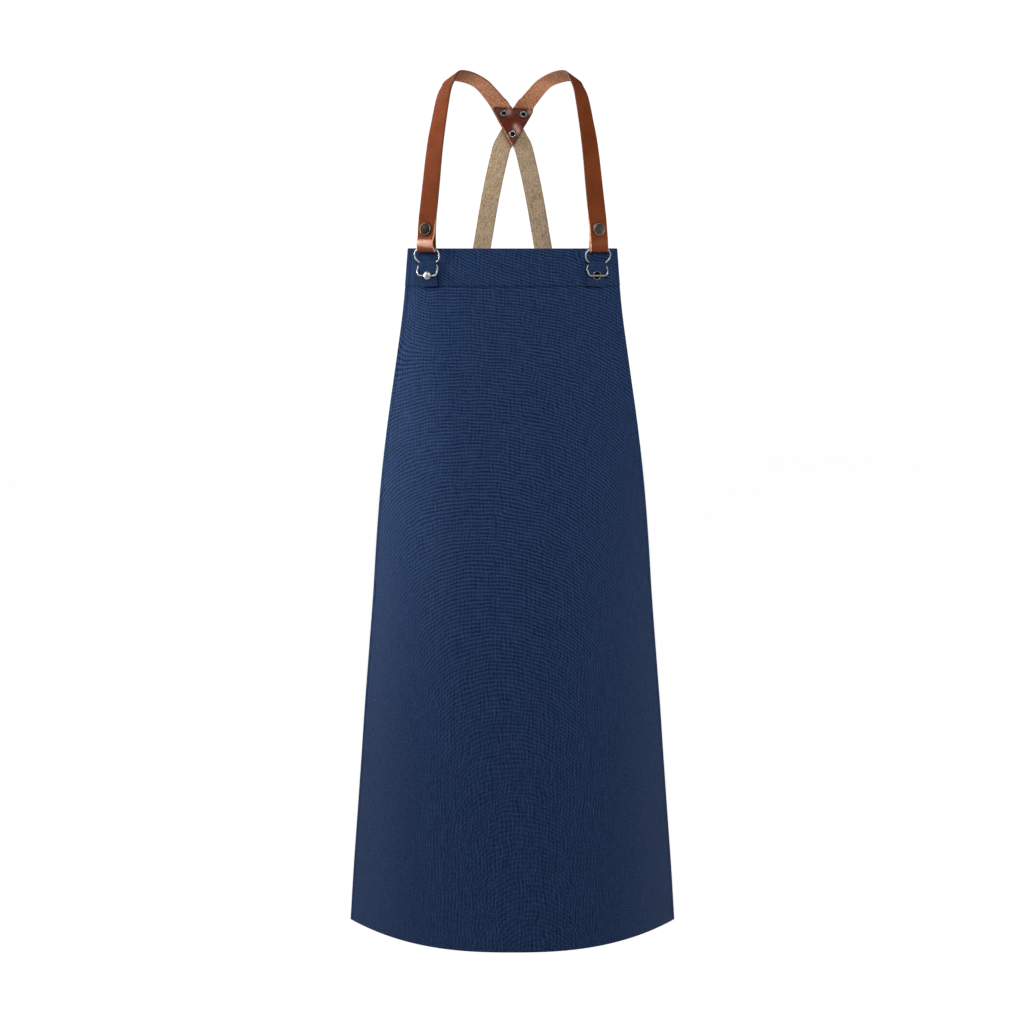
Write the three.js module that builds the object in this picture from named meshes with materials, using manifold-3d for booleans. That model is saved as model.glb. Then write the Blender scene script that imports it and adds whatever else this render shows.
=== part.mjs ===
// Bib apron of navy canvas with crossed leather straps, in the form it has when worn.
// Millimetres, +Z up, the front faces -Y. The origin lies between the two shoulder crowns.

import * as THREE from 'three';
import { mergeVertices } from 'three/addons/utils/BufferGeometryUtils.js';
import Module from 'manifold-3d';

const wasm = await Module();
wasm.setup();

// Driving dimensions
const GAP = 0.3;
const PANEL_TOP_Z = -216;
const PANEL_FRONT_Y = -110;
const PANEL_LENGTH = 885;
const CLOTH = 1.2;
const HEM_EXTRA = 1.0;
const TOP_HEM = 48;
const SIDE_HEM = 10;
const BOTTOM_HEM = 20;
const HEM_STEP = 0.8;
const SECTION_POWER = 2.5;
const SECTION_SWEEP = THREE.MathUtils.degToRad(70);

const STRAP_WIDTH = 24.4;
const LEATHER = 2.2;
const WEBBING_WIDTH = 23.4;
const WEBBING = 1.5;
const PATCH = 2.0;

const WIRE_RADIUS = 1.05;
const HARDWARE_OUT = 105;
const HARDWARE_FRAME_DOWN = 24;

// Panel sections, evenly spaced from the top edge down to the hem
const PANEL_ROWS = [
  { halfWidth: 130.9, sideDepth: 33, front: 0 },
  { halfWidth: 137.4, sideDepth: 45, front: -1 },
  { halfWidth: 147.8, sideDepth: 61, front: -3 },
  { halfWidth: 158.8, sideDepth: 82, front: -5 },
  { halfWidth: 167.9, sideDepth: 102, front: -6 },
  { halfWidth: 174.6, sideDepth: 122, front: -6 },
  { halfWidth: 179.9, sideDepth: 140, front: -5 },
  { halfWidth: 186.1, sideDepth: 156, front: -4 },
  { halfWidth: 192.4, sideDepth: 170, front: -3 },
  { halfWidth: 198.0, sideDepth: 183, front: -2 },
  { halfWidth: 203.7, sideDepth: 194, front: -1 },
  { halfWidth: 209.5, sideDepth: 204, front: 0 },
  { halfWidth: 214.4, sideDepth: 213, front: 0 },
];

// Shoulder strap from the chest to the crossing. out is the distance from the middle towards its own
// side, heading turns the outer face from the front (0) past the arm (90) to the back (180), lift
// raises it, and stack is the share of its layer's offset at the crossing.
const STRAP_ROWS = [
  { out: 104.0, y: -93, z: -163.4, heading: 26, lift: 5, stack: 0 },
  { out: 101.0, y: -88, z: -133.6, heading: 29, lift: 9, stack: 0 },
  { out: 98.2, y: -81, z: -103.7, heading: 33, lift: 14, stack: 0 },
  { out: 95.1, y: -73, z: -77.4, heading: 37, lift: 20, stack: 0 },
  { out: 91.6, y: -63, z: -54.7, heading: 44, lift: 27, stack: 0 },
  { out: 88.6, y: -51, z: -35.6, heading: 51, lift: 35, stack: 0 },
  { out: 85.6, y: -37, z: -20.0, heading: 61, lift: 43, stack: 0 },
  { out: 81.5, y: -20, z: -9.2, heading: 72, lift: 50, stack: 0 },
  { out: 75.5, y: 0, z: 1.8, heading: 88, lift: 55, stack: 0 },
  { out: 60.5, y: 22, z: 2.2, heading: 132, lift: 64, stack: 0 },
  { out: 43.4, y: 45, z: -3.9, heading: 168, lift: 70, stack: 0 },
  { out: 32.6, y: 68, z: -12.4, heading: 190, lift: 68, stack: 0.5 },
  { out: 22.1, y: 88.6, z: -24.0, heading: 187, lift: 59, stack: 1 },
];

// Webbing from below the crossing down the back and round to the panel's side
const WEBBING_ROWS = [
  { out: 20.2, y: 122.5, z: -109, heading: 178, lift: 0, stack: 0.8 },
  { out: 29.0, y: 122.5, z: -150.6, heading: 175, lift: 0, stack: 0.3 },
  { out: 39.7, y: 121, z: -213, heading: 171, lift: 0, stack: 0 },
  { out: 52.5, y: 117, z: -283, heading: 165, lift: 0, stack: 0 },
  { out: 74.0, y: 108, z: -349, heading: 153, lift: 0, stack: 0 },
  { out: 104.0, y: 88, z: -405, heading: 136, lift: 0, stack: 0 },
  { out: 134.0, y: 57, z: -447, heading: 116, lift: 0, stack: 0 },
  { out: 152.0, y: 20, z: -476, heading: 90, lift: 3, stack: 0 },
];
const WEBBING_SEAT_DOWN = 277;
const WEBBING_SEAT_ROWS = [
  { inset: 15, clear: 3.6 },
  { inset: 24, clear: 1.3 },
  { inset: 33, clear: 0.6 },
  { inset: 48, clear: 0.6 },
];

// Strap end folded round the buckle: heights above the bib's top edge, in the hardware frame
const BAR_HEIGHT = -1;
const BAR_PROUD = 4.05;
const SNAP_HEIGHT = 24;
const LEFT_SNAP = { proud: 5.9, tilt: 7.2, turn: 3.8, spread: 3.8 };
const RIGHT_SNAP = { proud: 5.15, tilt: 5, turn: 0, spread: 2.5 };
const TAIL_TOP = 42;
const STRAP_LEAN = 0.06;
const TAIL_LEAN = 0.03;
const BUCKLE_LEAN = 0.07;
const FOLD_STEPS = 6;
// The left fold bulges and turns towards the arm; the right one lies flat
const LEFT_FOLD_ROWS = [
  { height: 0, frontProud: 6.5, spread: 4.9, turn: 0 },
  { height: 4, frontProud: 8.8, spread: 7.0, turn: 7 },
  { height: 9, frontProud: 8.9, spread: 6.7, turn: 10 },
  { height: 14, frontProud: 7.0, spread: 4.5, turn: 7 },
  { height: 20, frontProud: 6.2, spread: 3.5, turn: 4.5 },
  { height: 28, frontProud: 5.2, spread: 3.1, turn: 2.5 },
  { height: 36, frontProud: 3.9, spread: 2.7, turn: 1 },
  { height: TAIL_TOP, frontProud: 3.0, spread: 2.5, turn: 0 },
];
const RIGHT_FOLD_ROWS = [
  { height: 0, frontProud: 6.5, spread: 4.9, turn: 0 },
  { height: 12, frontProud: 6.2, spread: 3.7, turn: 0 },
  { height: 20, frontProud: 5.5, spread: 2.6, turn: 0 },
  { height: 28, frontProud: 4.8, spread: 2.5, turn: 0 },
  { height: 36, frontProud: 3.8, spread: 2.5, turn: 0 },
  { height: TAIL_TOP, frontProud: 3.0, spread: 2.5, turn: 0 },
];

// Wire buckle, right half of its outline from the top bar to the lower bar
const BUCKLE_ROWS = [
  { x: 5.5, height: -1.0, proud: 4.05 },
  { x: 11.8, height: -1.0, proud: 4.05 },
  { x: 14.8, height: -2.6, proud: 4.0 },
  { x: 16.8, height: -6.0, proud: 3.8 },
  { x: 17.1, height: -9.4, proud: 3.6 },
  { x: 16.3, height: -12.6, proud: 3.4 },
  { x: 14.2, height: -15.2, proud: 3.3 },
  { x: 11.9, height: -16.9, proud: 3.3 },
  { x: 10.4, height: -18.4, proud: 3.3 },
  { x: 10.8, height: -19.9, proud: 3.3 },
  { x: 12.6, height: -21.4, proud: 3.3 },
  { x: 13.7, height: -23.4, proud: 3.7 },
  { x: 14.0, height: -25.8, proud: 5.1 },
  { x: 13.8, height: -28.2, proud: 6.7 },
  { x: 13.3, height: -30.6, proud: 7.5 },
  { x: 11.9, height: -32.6, proud: 7.65 },
  { x: 9.3, height: -33.4, proud: 7.65 },
  { x: 5.5, height: -33.4, proud: 7.65 },
];
const LOWER_BAR = { height: -33.4, proud: 7.65 };
const CROSSBAR = { halfLength: 11.2, height: -17.2, proud: 3.3 };

// Canvas tab folded over the crossbar, from the end of its back layer round to its front layer
const TAB_END = -47;
const TAB_SHOULDER = -21.4;
const TAB_NECK_END = -20.2;
const TAB_FRONT_SHOULDER = -18.2;
const TAB_FRONT_NECK = 24.4;
const TAB_NECK = 21;
const TAB_WIDTH = 25;
const TAB_BACK_PROUD = 1.35;
const TAB_FOLD_RADIUS = WIRE_RADIUS + GAP + CLOTH / 2;
const TAB_FRONT_ROWS = [
  { height: TAB_FRONT_SHOULDER, proud: 5.25, width: TAB_FRONT_NECK },
  { height: TAB_SHOULDER, proud: 5.25, width: TAB_WIDTH },
  { height: -24, proud: 4.8, width: TAB_WIDTH },
  { height: -28, proud: 4.4, width: TAB_WIDTH },
  { height: -39, proud: 4.2, width: TAB_WIDTH },
  { height: TAB_END, proud: 3.2, width: TAB_WIDTH },
];
const BUTTON_SHANK = 2.2;
const EYELET_SHANK = 4.9;
const SNAP_SHANK = 2.0;

// Crossing at the back: mid-planes of the layers, measured outward from the left strap's
const LAYER_GAP = 0.6;
const PATCH_OFFSET = -(LEATHER / 2 + LAYER_GAP + PATCH / 2);
const WEBBING_RIGHT_OFFSET = LEATHER / 2 + LAYER_GAP + WEBBING / 2;
const STRAP_RIGHT_OFFSET = WEBBING_RIGHT_OFFSET + WEBBING / 2 + LAYER_GAP + LEATHER / 2;
const WEBBING_LEFT_OFFSET = STRAP_RIGHT_OFFSET + LEATHER / 2 + LAYER_GAP + WEBBING / 2;
// Each band crosses on a slanted line: out at the crossing's height, and how it grows going down
const CROSSING_Z = -59.5;
const STRAP_CROSSING = { out: 0, slope: -0.576, top: -30, bottom: -80, steps: 9 };
const WEBBING_CROSSING = { out: 0.8, slope: 0.54, top: -34.6, bottom: -83, steps: 9 };
const STRAP_END_INSET = 1.5;
const CUTTER_SIZE = 60;
const PEG_LENGTH = 40;

// Back surface at the crossing: a quarter ellipse in the side view
const BACK_TOP_Z = 2;
const BACK_DEPTH = 122.2;
const BACK_DROP = 83;
const PATCH_ROWS = [
  { z: -33.0, left: -23.2, right: 26.0 },
  { z: -34.4, left: -24.2, right: 26.8 },
  { z: -37.2, left: -23.6, right: 26.2 },
  { z: -44.0, left: -19.6, right: 22.6 },
  { z: -52.0, left: -14.9, right: 18.0 },
  { z: -60.0, left: -10.2, right: 13.3 },
  { z: -68.0, left: -5.8, right: 8.8 },
  { z: -74.0, left: -3.2, right: 5.7 },
  { z: -77.2, left: -1.7, right: 4.1 },
  { z: -78.9, left: -0.4, right: 2.6 },
  { z: -79.8, left: 0.5, right: 1.5 },
];
const PATCH_SLANT = 0.05;
const PATCH_COLUMNS = 6;
const RIVET_FLANGE = 5.1;
const RIVET_BORE = 2.5;
const RIVET_SHANK = 3.1;
const RIVETS = [
  { name: 'rivet_upper_left', x: -11.1, z: -38.6, back: WEBBING_RIGHT_OFFSET, straps: [-1] },
  { name: 'rivet_upper_right', x: 14.2, z: -39.9, back: WEBBING_LEFT_OFFSET, straps: [1] },
  { name: 'rivet_lower', x: 0.2, z: -66.6, back: WEBBING_LEFT_OFFSET, straps: [-1, 1] },
];

// Mesh density
const PANEL_DOWN_STEPS = 17;
const PANEL_ACROSS_STEPS = 24;
const STEPS_PER_ROW = 2;
const WIRE_SIDES = 6;
const WIRE_STEPS = 48;
const ROUND_SIDES = 16;

// Finishes
const canvas = new THREE.MeshStandardMaterial({ color: 0x24334f, roughness: 0.9, metalness: 0 });
const leather = new THREE.MeshStandardMaterial({ color: 0x84462c, roughness: 0.55, metalness: 0 });
const darkLeather = new THREE.MeshStandardMaterial({ color: 0x4d261b, roughness: 0.4, metalness: 0 });
const wovenTape = new THREE.MeshStandardMaterial({ color: 0xa08c72, roughness: 0.9, metalness: 0 });
const brightSteel = new THREE.MeshStandardMaterial({ color: 0xc4c8ca, roughness: 0.25, metalness: 1 });
const darkMetal = new THREE.MeshStandardMaterial({ color: 0x4a443d, roughness: 0.4, metalness: 1 });
const greyMetal = new THREE.MeshStandardMaterial({ color: 0x9a9a98, roughness: 0.35, metalness: 1 });

// Smooth value of one column of an evenly spaced table, with place running from 0 to 1
function columnAt(rows, column, place) {
  const scaled = place * (rows.length - 1);
  const i = Math.min(Math.floor(scaled), rows.length - 2);
  const f = scaled - i;
  const b = rows[i][column];
  const c = rows[i + 1][column];
  const a = i > 0 ? rows[i - 1][column] : 2 * b - c;
  const d = i + 2 < rows.length ? rows[i + 2][column] : 2 * c - b;
  return b + 0.5 * f * (c - a + f * (2 * a - 5 * b + 4 * c - d + f * (3 * (b - c) + d - a)));
}

// Level section of the panel's outer face, from the left edge to the right edge
class PanelSection extends THREE.Curve {
  constructor(down) {
    super();
    this.place = down / PANEL_LENGTH;
    this.halfWidth = columnAt(PANEL_ROWS, 'halfWidth', this.place);
    this.sideDepth = columnAt(PANEL_ROWS, 'sideDepth', this.place);
    this.front = columnAt(PANEL_ROWS, 'front', this.place);
  }

  getPoint(t, target = new THREE.Vector3()) {
    const share = Math.sin((2 * t - 1) * SECTION_SWEEP) / Math.sin(SECTION_SWEEP);
    const setBack = this.sideDepth * Math.abs(share) ** SECTION_POWER;
    const y = PANEL_FRONT_Y + this.front + setBack;
    return target.set(this.halfWidth * share, y, PANEL_TOP_Z - this.place * PANEL_LENGTH);
  }
}

// Point of the outer face by its arc distance from the middle
function panelPoint(across, down) {
  const section = new PanelSection(THREE.MathUtils.clamp(down, 0, PANEL_LENGTH));
  return section.getPointAt(THREE.MathUtils.clamp(0.5 + across / section.getLength(), 0, 1));
}

// Axes of the panel at a point: right along the section, up the cloth and inward
function panelFrame(across, down) {
  const step = 2;
  const origin = panelPoint(across, down);
  const right = panelPoint(across + step, down).sub(panelPoint(across - step, down)).normalize();
  const above = panelPoint(across, down - step);
  const up = above.sub(panelPoint(across, down + step));
  const inward = up.clone().cross(right).normalize();
  up.copy(right).cross(inward).normalize();
  return { origin, right, up, inward };
}

// Arc distance from the middle at which the section reaches a given distance out
function acrossAt(out, down) {
  const section = new PanelSection(down);
  const share = out / section.halfWidth;
  const t = 0.5 + Math.asin(share * Math.sin(SECTION_SWEEP)) / SECTION_SWEEP / 2;
  const steps = 200;
  let length = 0;
  let last = section.getPoint(0.5);
  for (let i = 1; i <= steps; i += 1) {
    const next = section.getPoint(0.5 + ((t - 0.5) * i) / steps);
    length += next.distanceTo(last);
    last = next;
  }
  return length;
}

// Closed wall between two grids of points, rows along the path and columns across it
function slabGeometry(front, back) {
  const rowCount = front.length;
  const columnCount = front[0].length;
  const positions = [...front.flat(), ...back.flat()].flatMap((p) => [p.x, p.y, p.z]);
  const f = (i, j) => i * columnCount + j;
  const b = (i, j) => rowCount * columnCount + f(i, j);
  const index = [];
  const quad = (p, q, r, s) => index.push(p, q, r, p, r, s);
  const lastRow = rowCount - 1;
  const lastColumn = columnCount - 1;
  for (let i = 0; i < lastRow; i += 1) {
    for (let j = 0; j < lastColumn; j += 1) {
      quad(f(i, j), f(i, j + 1), f(i + 1, j + 1), f(i + 1, j));
      quad(b(i, j), b(i + 1, j), b(i + 1, j + 1), b(i, j + 1));
    }
    quad(f(i, 0), f(i + 1, 0), b(i + 1, 0), b(i, 0));
    quad(f(i, lastColumn), b(i, lastColumn), b(i + 1, lastColumn), f(i + 1, lastColumn));
  }
  for (let j = 0; j < lastColumn; j += 1) {
    quad(f(0, j), b(0, j), b(0, j + 1), f(0, j + 1));
    quad(f(lastRow, j), f(lastRow, j + 1), b(lastRow, j + 1), b(lastRow, j));
  }
  const geometry = new THREE.BufferGeometry();
  geometry.setAttribute('position', new THREE.Float32BufferAttribute(positions, 3));
  geometry.setIndex(index);
  return geometry;
}

// Flat band that follows stations of point, facing and width
function ribbonGeometry(stations, thickness) {
  const path = new THREE.CatmullRomCurve3(stations.map((s) => s.point));
  const facings = new THREE.CatmullRomCurve3(stations.map((s) => s.facing), false, 'catmullrom', 0.5);
  const steps = (stations.length - 1) * STEPS_PER_ROW;
  const front = [];
  const back = [];
  for (let k = 0; k <= steps; k += 1) {
    const t = k / steps;
    const point = path.getPoint(t);
    const along = path.getTangent(t);
    const normal = facings.getPoint(t);
    normal.addScaledVector(along, -normal.dot(along)).normalize();
    const across = along.clone().cross(normal);
    const width = columnAt(stations, 'width', t);
    const edges = [-0.5, 0.5].map((share) => point.clone().addScaledVector(across, share * width));
    front.push(edges.map((p) => p.clone().addScaledVector(normal, thickness / 2)));
    back.push(edges.map((p) => p.clone().addScaledVector(normal, -thickness / 2)));
  }
  return slabGeometry(front, back);
}

// Round wire along a closed curve
function closedWireGeometry(path, radius) {
  const frames = path.computeFrenetFrames(WIRE_STEPS, true);
  const positions = [];
  const index = [];
  for (let k = 0; k < WIRE_STEPS; k += 1) {
    const centre = path.getPointAt(k / WIRE_STEPS);
    for (let s = 0; s < WIRE_SIDES; s += 1) {
      const angle = (2 * Math.PI * s) / WIRE_SIDES;
      const p = centre.clone();
      p.addScaledVector(frames.normals[k], radius * Math.cos(angle));
      p.addScaledVector(frames.binormals[k], radius * Math.sin(angle));
      positions.push(p.x, p.y, p.z);
      const next = ((k + 1) % WIRE_STEPS) * WIRE_SIDES;
      const here = k * WIRE_SIDES;
      const turn = (s + 1) % WIRE_SIDES;
      index.push(here + s, here + turn, next + turn, here + s, next + turn, next + s);
    }
  }
  const geometry = new THREE.BufferGeometry();
  geometry.setAttribute('position', new THREE.Float32BufferAttribute(positions, 3));
  geometry.setIndex(index);
  return geometry;
}

// Round peg along a direction, centred on a point
function pegGeometry(point, direction, radius, length = PEG_LENGTH) {
  const peg = new THREE.CylinderGeometry(radius, radius, length, ROUND_SIDES);
  const turn = new THREE.Quaternion().setFromUnitVectors(new THREE.Vector3(0, 1, 0), direction);
  peg.applyQuaternion(turn);
  return peg.translate(point.x, point.y, point.z);
}

function toSolid(geometry) {
  const bare = new THREE.BufferGeometry();
  bare.setAttribute('position', geometry.getAttribute('position'));
  bare.setIndex(geometry.getIndex());
  const merged = mergeVertices(bare, 1e-4);
  return new wasm.Manifold(new wasm.Mesh({
    numProp: 3,
    vertProperties: new Float32Array(merged.getAttribute('position').array),
    triVerts: new Uint32Array(merged.getIndex().array),
  }));
}

function toGeometry(solid) {
  const mesh = solid.getMesh();
  const geometry = new THREE.BufferGeometry();
  geometry.setAttribute('position', new THREE.Float32BufferAttribute(mesh.vertProperties, 3));
  geometry.setIndex(Array.from(mesh.triVerts));
  return geometry;
}

function drilled(geometry, pegs) {
  return toGeometry(pegs.reduce((solid, peg) => solid.subtract(toSolid(peg)), toSolid(geometry)));
}

// Block that cuts a strap's end along the far edge of the patch
function strapEndCutter(side) {
  const corner = (row) => patchPoint(side < 0 ? row.right : row.left, row.z, 0);
  const upper = corner(PATCH_ROWS[1]);
  const lower = corner(PATCH_ROWS[PATCH_ROWS.length - 2]);
  const kept = new THREE.Vector3(side * (upper.z - lower.z), 0, Math.abs(upper.x - lower.x)).normalize();
  const cutter = new THREE.BoxGeometry(CUTTER_SIZE, CUTTER_SIZE, CUTTER_SIZE);
  cutter.rotateY(Math.atan2(-kept.z, kept.x));
  const centre = lower.addScaledVector(kept, STRAP_END_INSET - CUTTER_SIZE / 2);
  return cutter.translate(centre.x, centre.y, centre.z);
}

function addMesh(parent, name, geometry, material) {
  geometry.computeVertexNormals();
  const mesh = new THREE.Mesh(geometry, material);
  mesh.name = name;
  parent.add(mesh);
  return mesh;
}

// Group on the bib where one buckle sits: x to the right, -y proud of the cloth, z above the top edge
function hardwareGroup(side) {
  const across = side * acrossAt(HARDWARE_OUT, HARDWARE_FRAME_DOWN);
  const frame = panelFrame(across, HARDWARE_FRAME_DOWN);
  const group = new THREE.Group();
  group.matrix.makeBasis(frame.right, frame.inward, frame.up);
  group.quaternion.setFromRotationMatrix(group.matrix);
  group.position.copy(frame.origin).addScaledVector(frame.up, HARDWARE_FRAME_DOWN);
  group.updateMatrixWorld(true);
  return group;
}

function hardwareStation(group, x, height, proud, facing, width) {
  const point = group.localToWorld(new THREE.Vector3(x, -proud, height));
  return { point, facing: facing.clone().applyQuaternion(group.quaternion), width };
}

// Station of one table row on the given side; its layer moves it straight back
function rowStation(row, side, layer, width) {
  const heading = THREE.MathUtils.degToRad(row.heading);
  const lift = THREE.MathUtils.degToRad(row.lift);
  const level = Math.cos(lift);
  const turned = side * Math.sin(heading);
  const facing = new THREE.Vector3(turned * level, -Math.cos(heading) * level, Math.sin(lift));
  const point = new THREE.Vector3(side * row.out, row.y + (layer * row.stack) / level, row.z);
  return { point, facing, width };
}

// Stations of one band where it crosses the other on the back surface
function crossingStations(line, side, layer, width) {
  const stations = [];
  for (let k = 0; k <= line.steps; k += 1) {
    const z = THREE.MathUtils.lerp(line.top, line.bottom, k / line.steps);
    const out = line.out + line.slope * (CROSSING_Z - z);
    const { point, normal } = backSurface(side * out, z, 0);
    point.y += layer / normal.y;
    stations.push({ point, facing: normal, width });
  }
  return stations;
}

// Canvas bib and skirt with its hems turned to the inside
function apronPanel(pegs) {
  const hemRow = (edge, width) => [edge, edge + width, edge + width + Math.sign(width) * HEM_STEP];
  const downs = [...hemRow(0, TOP_HEM), ...hemRow(PANEL_LENGTH, -BOTTOM_HEM)];
  const innerTop = TOP_HEM + HEM_STEP;
  const innerLength = PANEL_LENGTH - BOTTOM_HEM - HEM_STEP - innerTop;
  downs.push(TOP_HEM / 2);
  for (let i = 1; i < PANEL_DOWN_STEPS; i += 1) {
    downs.push(innerTop + (innerLength * i) / PANEL_DOWN_STEPS);
  }
  downs.sort((a, b) => b - a);
  const front = [];
  const back = [];
  for (const down of downs) {
    const half = new PanelSection(down).getLength() / 2;
    const inner = half - SIDE_HEM - HEM_STEP;
    const acrosses = [...hemRow(-half, SIDE_HEM)];
    for (let j = 1; j < PANEL_ACROSS_STEPS; j += 1) {
      acrosses.push(-inner + (2 * inner * j) / PANEL_ACROSS_STEPS);
    }
    acrosses.push(...hemRow(half, -SIDE_HEM).reverse());
    const frontRow = acrosses.map((across) => panelPoint(across, down));
    front.push(frontRow);
    back.push(acrosses.map((across, j) => {
      const inSideHem = Math.abs(across) >= half - SIDE_HEM;
      const inHem = inSideHem || down <= TOP_HEM || down >= PANEL_LENGTH - BOTTOM_HEM;
      const { inward } = panelFrame(across, down);
      return frontRow[j].clone().addScaledVector(inward, CLOTH + (inHem ? HEM_EXTRA : 0));
    }));
  }
  return drilled(slabGeometry(front, back), pegs);
}

// Leather strap: tail behind the fold, round the buckle's top bar, up the chest and over to the crossing
function leatherStrap(side, group, foldRows, layer, pegs) {
  const inward = new THREE.Vector3(0, 1, 0);
  const outward = (turn) => new THREE.Vector3(side * Math.sin(turn), -Math.cos(turn), 0);
  const station = (height, proud, facing, lean = STRAP_LEAN) => {
    return hardwareStation(group, -side * lean * height, height, proud, facing, STRAP_WIDTH);
  };
  const tail = foldRows.map((row) => {
    return station(row.height, row.frontProud - row.spread, inward, TAIL_LEAN);
  }).reverse();
  const bend = [];
  const bendRadius = WIRE_RADIUS + GAP + LEATHER / 2;
  for (let k = 1; k < FOLD_STEPS; k += 1) {
    const angle = (Math.PI * k) / FOLD_STEPS;
    const facing = new THREE.Vector3(0, Math.cos(angle), -Math.sin(angle));
    const height = BAR_HEIGHT - bendRadius * Math.sin(angle);
    bend.push(station(height, BAR_PROUD - bendRadius * Math.cos(angle), facing));
  }
  const front = foldRows.map((row) => {
    return station(row.height, row.frontProud, outward(THREE.MathUtils.degToRad(row.turn)));
  });
  const over = STRAP_ROWS.map((row) => rowStation(row, side, layer, STRAP_WIDTH));
  const crossing = crossingStations(STRAP_CROSSING, side, layer, STRAP_WIDTH);
  const stations = [...tail, ...bend, ...front, ...over, ...crossing];
  return drilled(ribbonGeometry(stations, LEATHER), [strapEndCutter(side), ...pegs]);
}

// Webbing from the crossing down the back to the inside of the panel's side
function webbingStrap(side, layer, pegs) {
  const stations = crossingStations(WEBBING_CROSSING, side, layer, WEBBING_WIDTH);
  stations.push(...WEBBING_ROWS.map((row) => rowStation(row, side, layer, WEBBING_WIDTH)));
  const half = new PanelSection(WEBBING_SEAT_DOWN).getLength() / 2;
  for (const { inset, clear } of WEBBING_SEAT_ROWS) {
    const { origin, inward } = panelFrame(side * (half - inset), WEBBING_SEAT_DOWN);
    const point = origin.clone().addScaledVector(inward, CLOTH + clear + WEBBING / 2);
    stations.push({ point, facing: inward.clone().negate(), width: WEBBING_WIDTH });
  }
  return drilled(ribbonGeometry(stations, WEBBING), pegs);
}

// How far the buckle has swung towards the middle at one height
function buckleLean(side, height) {
  return side * BUCKLE_LEAN * (height - BAR_HEIGHT);
}

// Canvas tab folded over the crossbar
function buckleTab(side, shank) {
  const backward = new THREE.Vector3(0, 1, 0);
  const forward = backward.clone().negate();
  const rows = [
    { height: TAB_END, proud: TAB_BACK_PROUD, width: TAB_WIDTH, facing: backward },
    { height: LOWER_BAR.height, proud: TAB_BACK_PROUD, width: TAB_WIDTH, facing: backward },
    { height: TAB_SHOULDER, proud: TAB_BACK_PROUD, width: TAB_WIDTH, facing: backward },
    { height: TAB_NECK_END, proud: TAB_BACK_PROUD, width: TAB_NECK, facing: backward },
  ];
  for (let k = 0; k <= FOLD_STEPS; k += 1) {
    const angle = (Math.PI * k) / FOLD_STEPS;
    rows.push({
      height: CROSSBAR.height + TAB_FOLD_RADIUS * Math.sin(angle),
      proud: CROSSBAR.proud - TAB_FOLD_RADIUS * Math.cos(angle),
      width: TAB_NECK,
      facing: new THREE.Vector3(0, Math.cos(angle), Math.sin(angle)),
    });
  }
  rows.push(...TAB_FRONT_ROWS.map((row) => ({ ...row, facing: forward })));
  const stations = rows.map((row) => ({
    point: new THREE.Vector3(buckleLean(side, row.height), -row.proud, row.height),
    facing: row.facing,
    width: row.width,
  }));
  const seat = new THREE.Vector3(buckleLean(side, LOWER_BAR.height), 0, LOWER_BAR.height);
  const hole = pegGeometry(seat, backward, shank + GAP);
  return drilled(ribbonGeometry(stations, CLOTH), [hole]);
}

// Figure-of-eight wire with a soldered crossbar
function wireBuckle(side) {
  const place = (x, { height, proud }) => new THREE.Vector3(x + buckleLean(side, height), -proud, height);
  const point = (row, mirror) => place(mirror * row.x, row);
  const right = BUCKLE_ROWS.map((row) => point(row, 1));
  const left = BUCKLE_ROWS.map((row) => point(row, -1)).reverse();
  const path = new THREE.CatmullRomCurve3([...right, ...left], true);
  const middle = place(0, CROSSBAR);
  const bar = pegGeometry(middle, new THREE.Vector3(1, 0, 0), WIRE_RADIUS, 2 * CROSSBAR.halfLength);
  return toGeometry(toSolid(closedWireGeometry(path, WIRE_RADIUS)).add(toSolid(bar)));
}

// Turned piece from rows of radius and how far proud of its seat, front to back
function turnedGeometry(rows) {
  const profile = rows.map(([radius, proud]) => new THREE.Vector2(radius, -proud));
  return new THREE.LatheGeometry(profile, ROUND_SIDES);
}

function domedButton() {
  const cap = 5.3;
  const dome = turnedGeometry([
    [0, 10.4], [2.4, 10.0], [4.15, 9.0], [cap, 7.4], [cap, 6.3], [cap - 0.5, 5.7],
    [BUTTON_SHANK, 5.7], [BUTTON_SHANK, -2.5], [4, -2.5], [4, -3.2], [0, -3.2],
  ]);
  const bar = new THREE.Vector3(0, -LOWER_BAR.proud, 0);
  return drilled(dome, [pegGeometry(bar, new THREE.Vector3(1, 0, 0), WIRE_RADIUS + GAP)]);
}

function eyeletRing() {
  const bore = 4.3;
  const flange = 6.0;
  return turnedGeometry([
    [0, 2.6], [bore, 2.6], [bore, 6.1], [bore + 0.4, 6.3], [flange - 0.5, 6.3], [flange, 5.9], [flange, 5.5],
    [EYELET_SHANK, 5.5], [EYELET_SHANK, -2.5], [flange, -2.5], [flange, -3.2], [0, -3.2],
  ]);
}

// Snap cap on the strap's face, with a shank through both layers and a flat back plate
function snapCap(spread) {
  const face = LEATHER / 2 + GAP;
  const back = -(spread + LEATHER / 2 + GAP);
  return turnedGeometry([
    [0, face + 1.9], [5.1, face + 1.7], [6.0, face + 1.4], [6.8, face + 2.0], [7.9, face + 1.8],
    [8.7, face + 1.0], [8.7, face], [SNAP_SHANK, face], [SNAP_SHANK, back], [4.6, back],
    [4.6, back - 0.8], [0, back - 0.8],
  ]);
}

// Point and outward normal of the back surface at one height
function backSurface(x, z, offset) {
  const turn = Math.acos(THREE.MathUtils.clamp(1 - (BACK_TOP_Z - z) / BACK_DROP, 0, 1));
  const normal = new THREE.Vector3(0, Math.sin(turn) / BACK_DEPTH, Math.cos(turn) / BACK_DROP).normalize();
  const point = new THREE.Vector3(x, BACK_DEPTH * Math.sin(turn), z).addScaledVector(normal, offset);
  return { point, normal };
}

// Point on or over the patch, whose rows slant a little
function patchPoint(x, z, offset) {
  return backSurface(x, z - PATCH_SLANT * x, offset).point;
}

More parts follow.
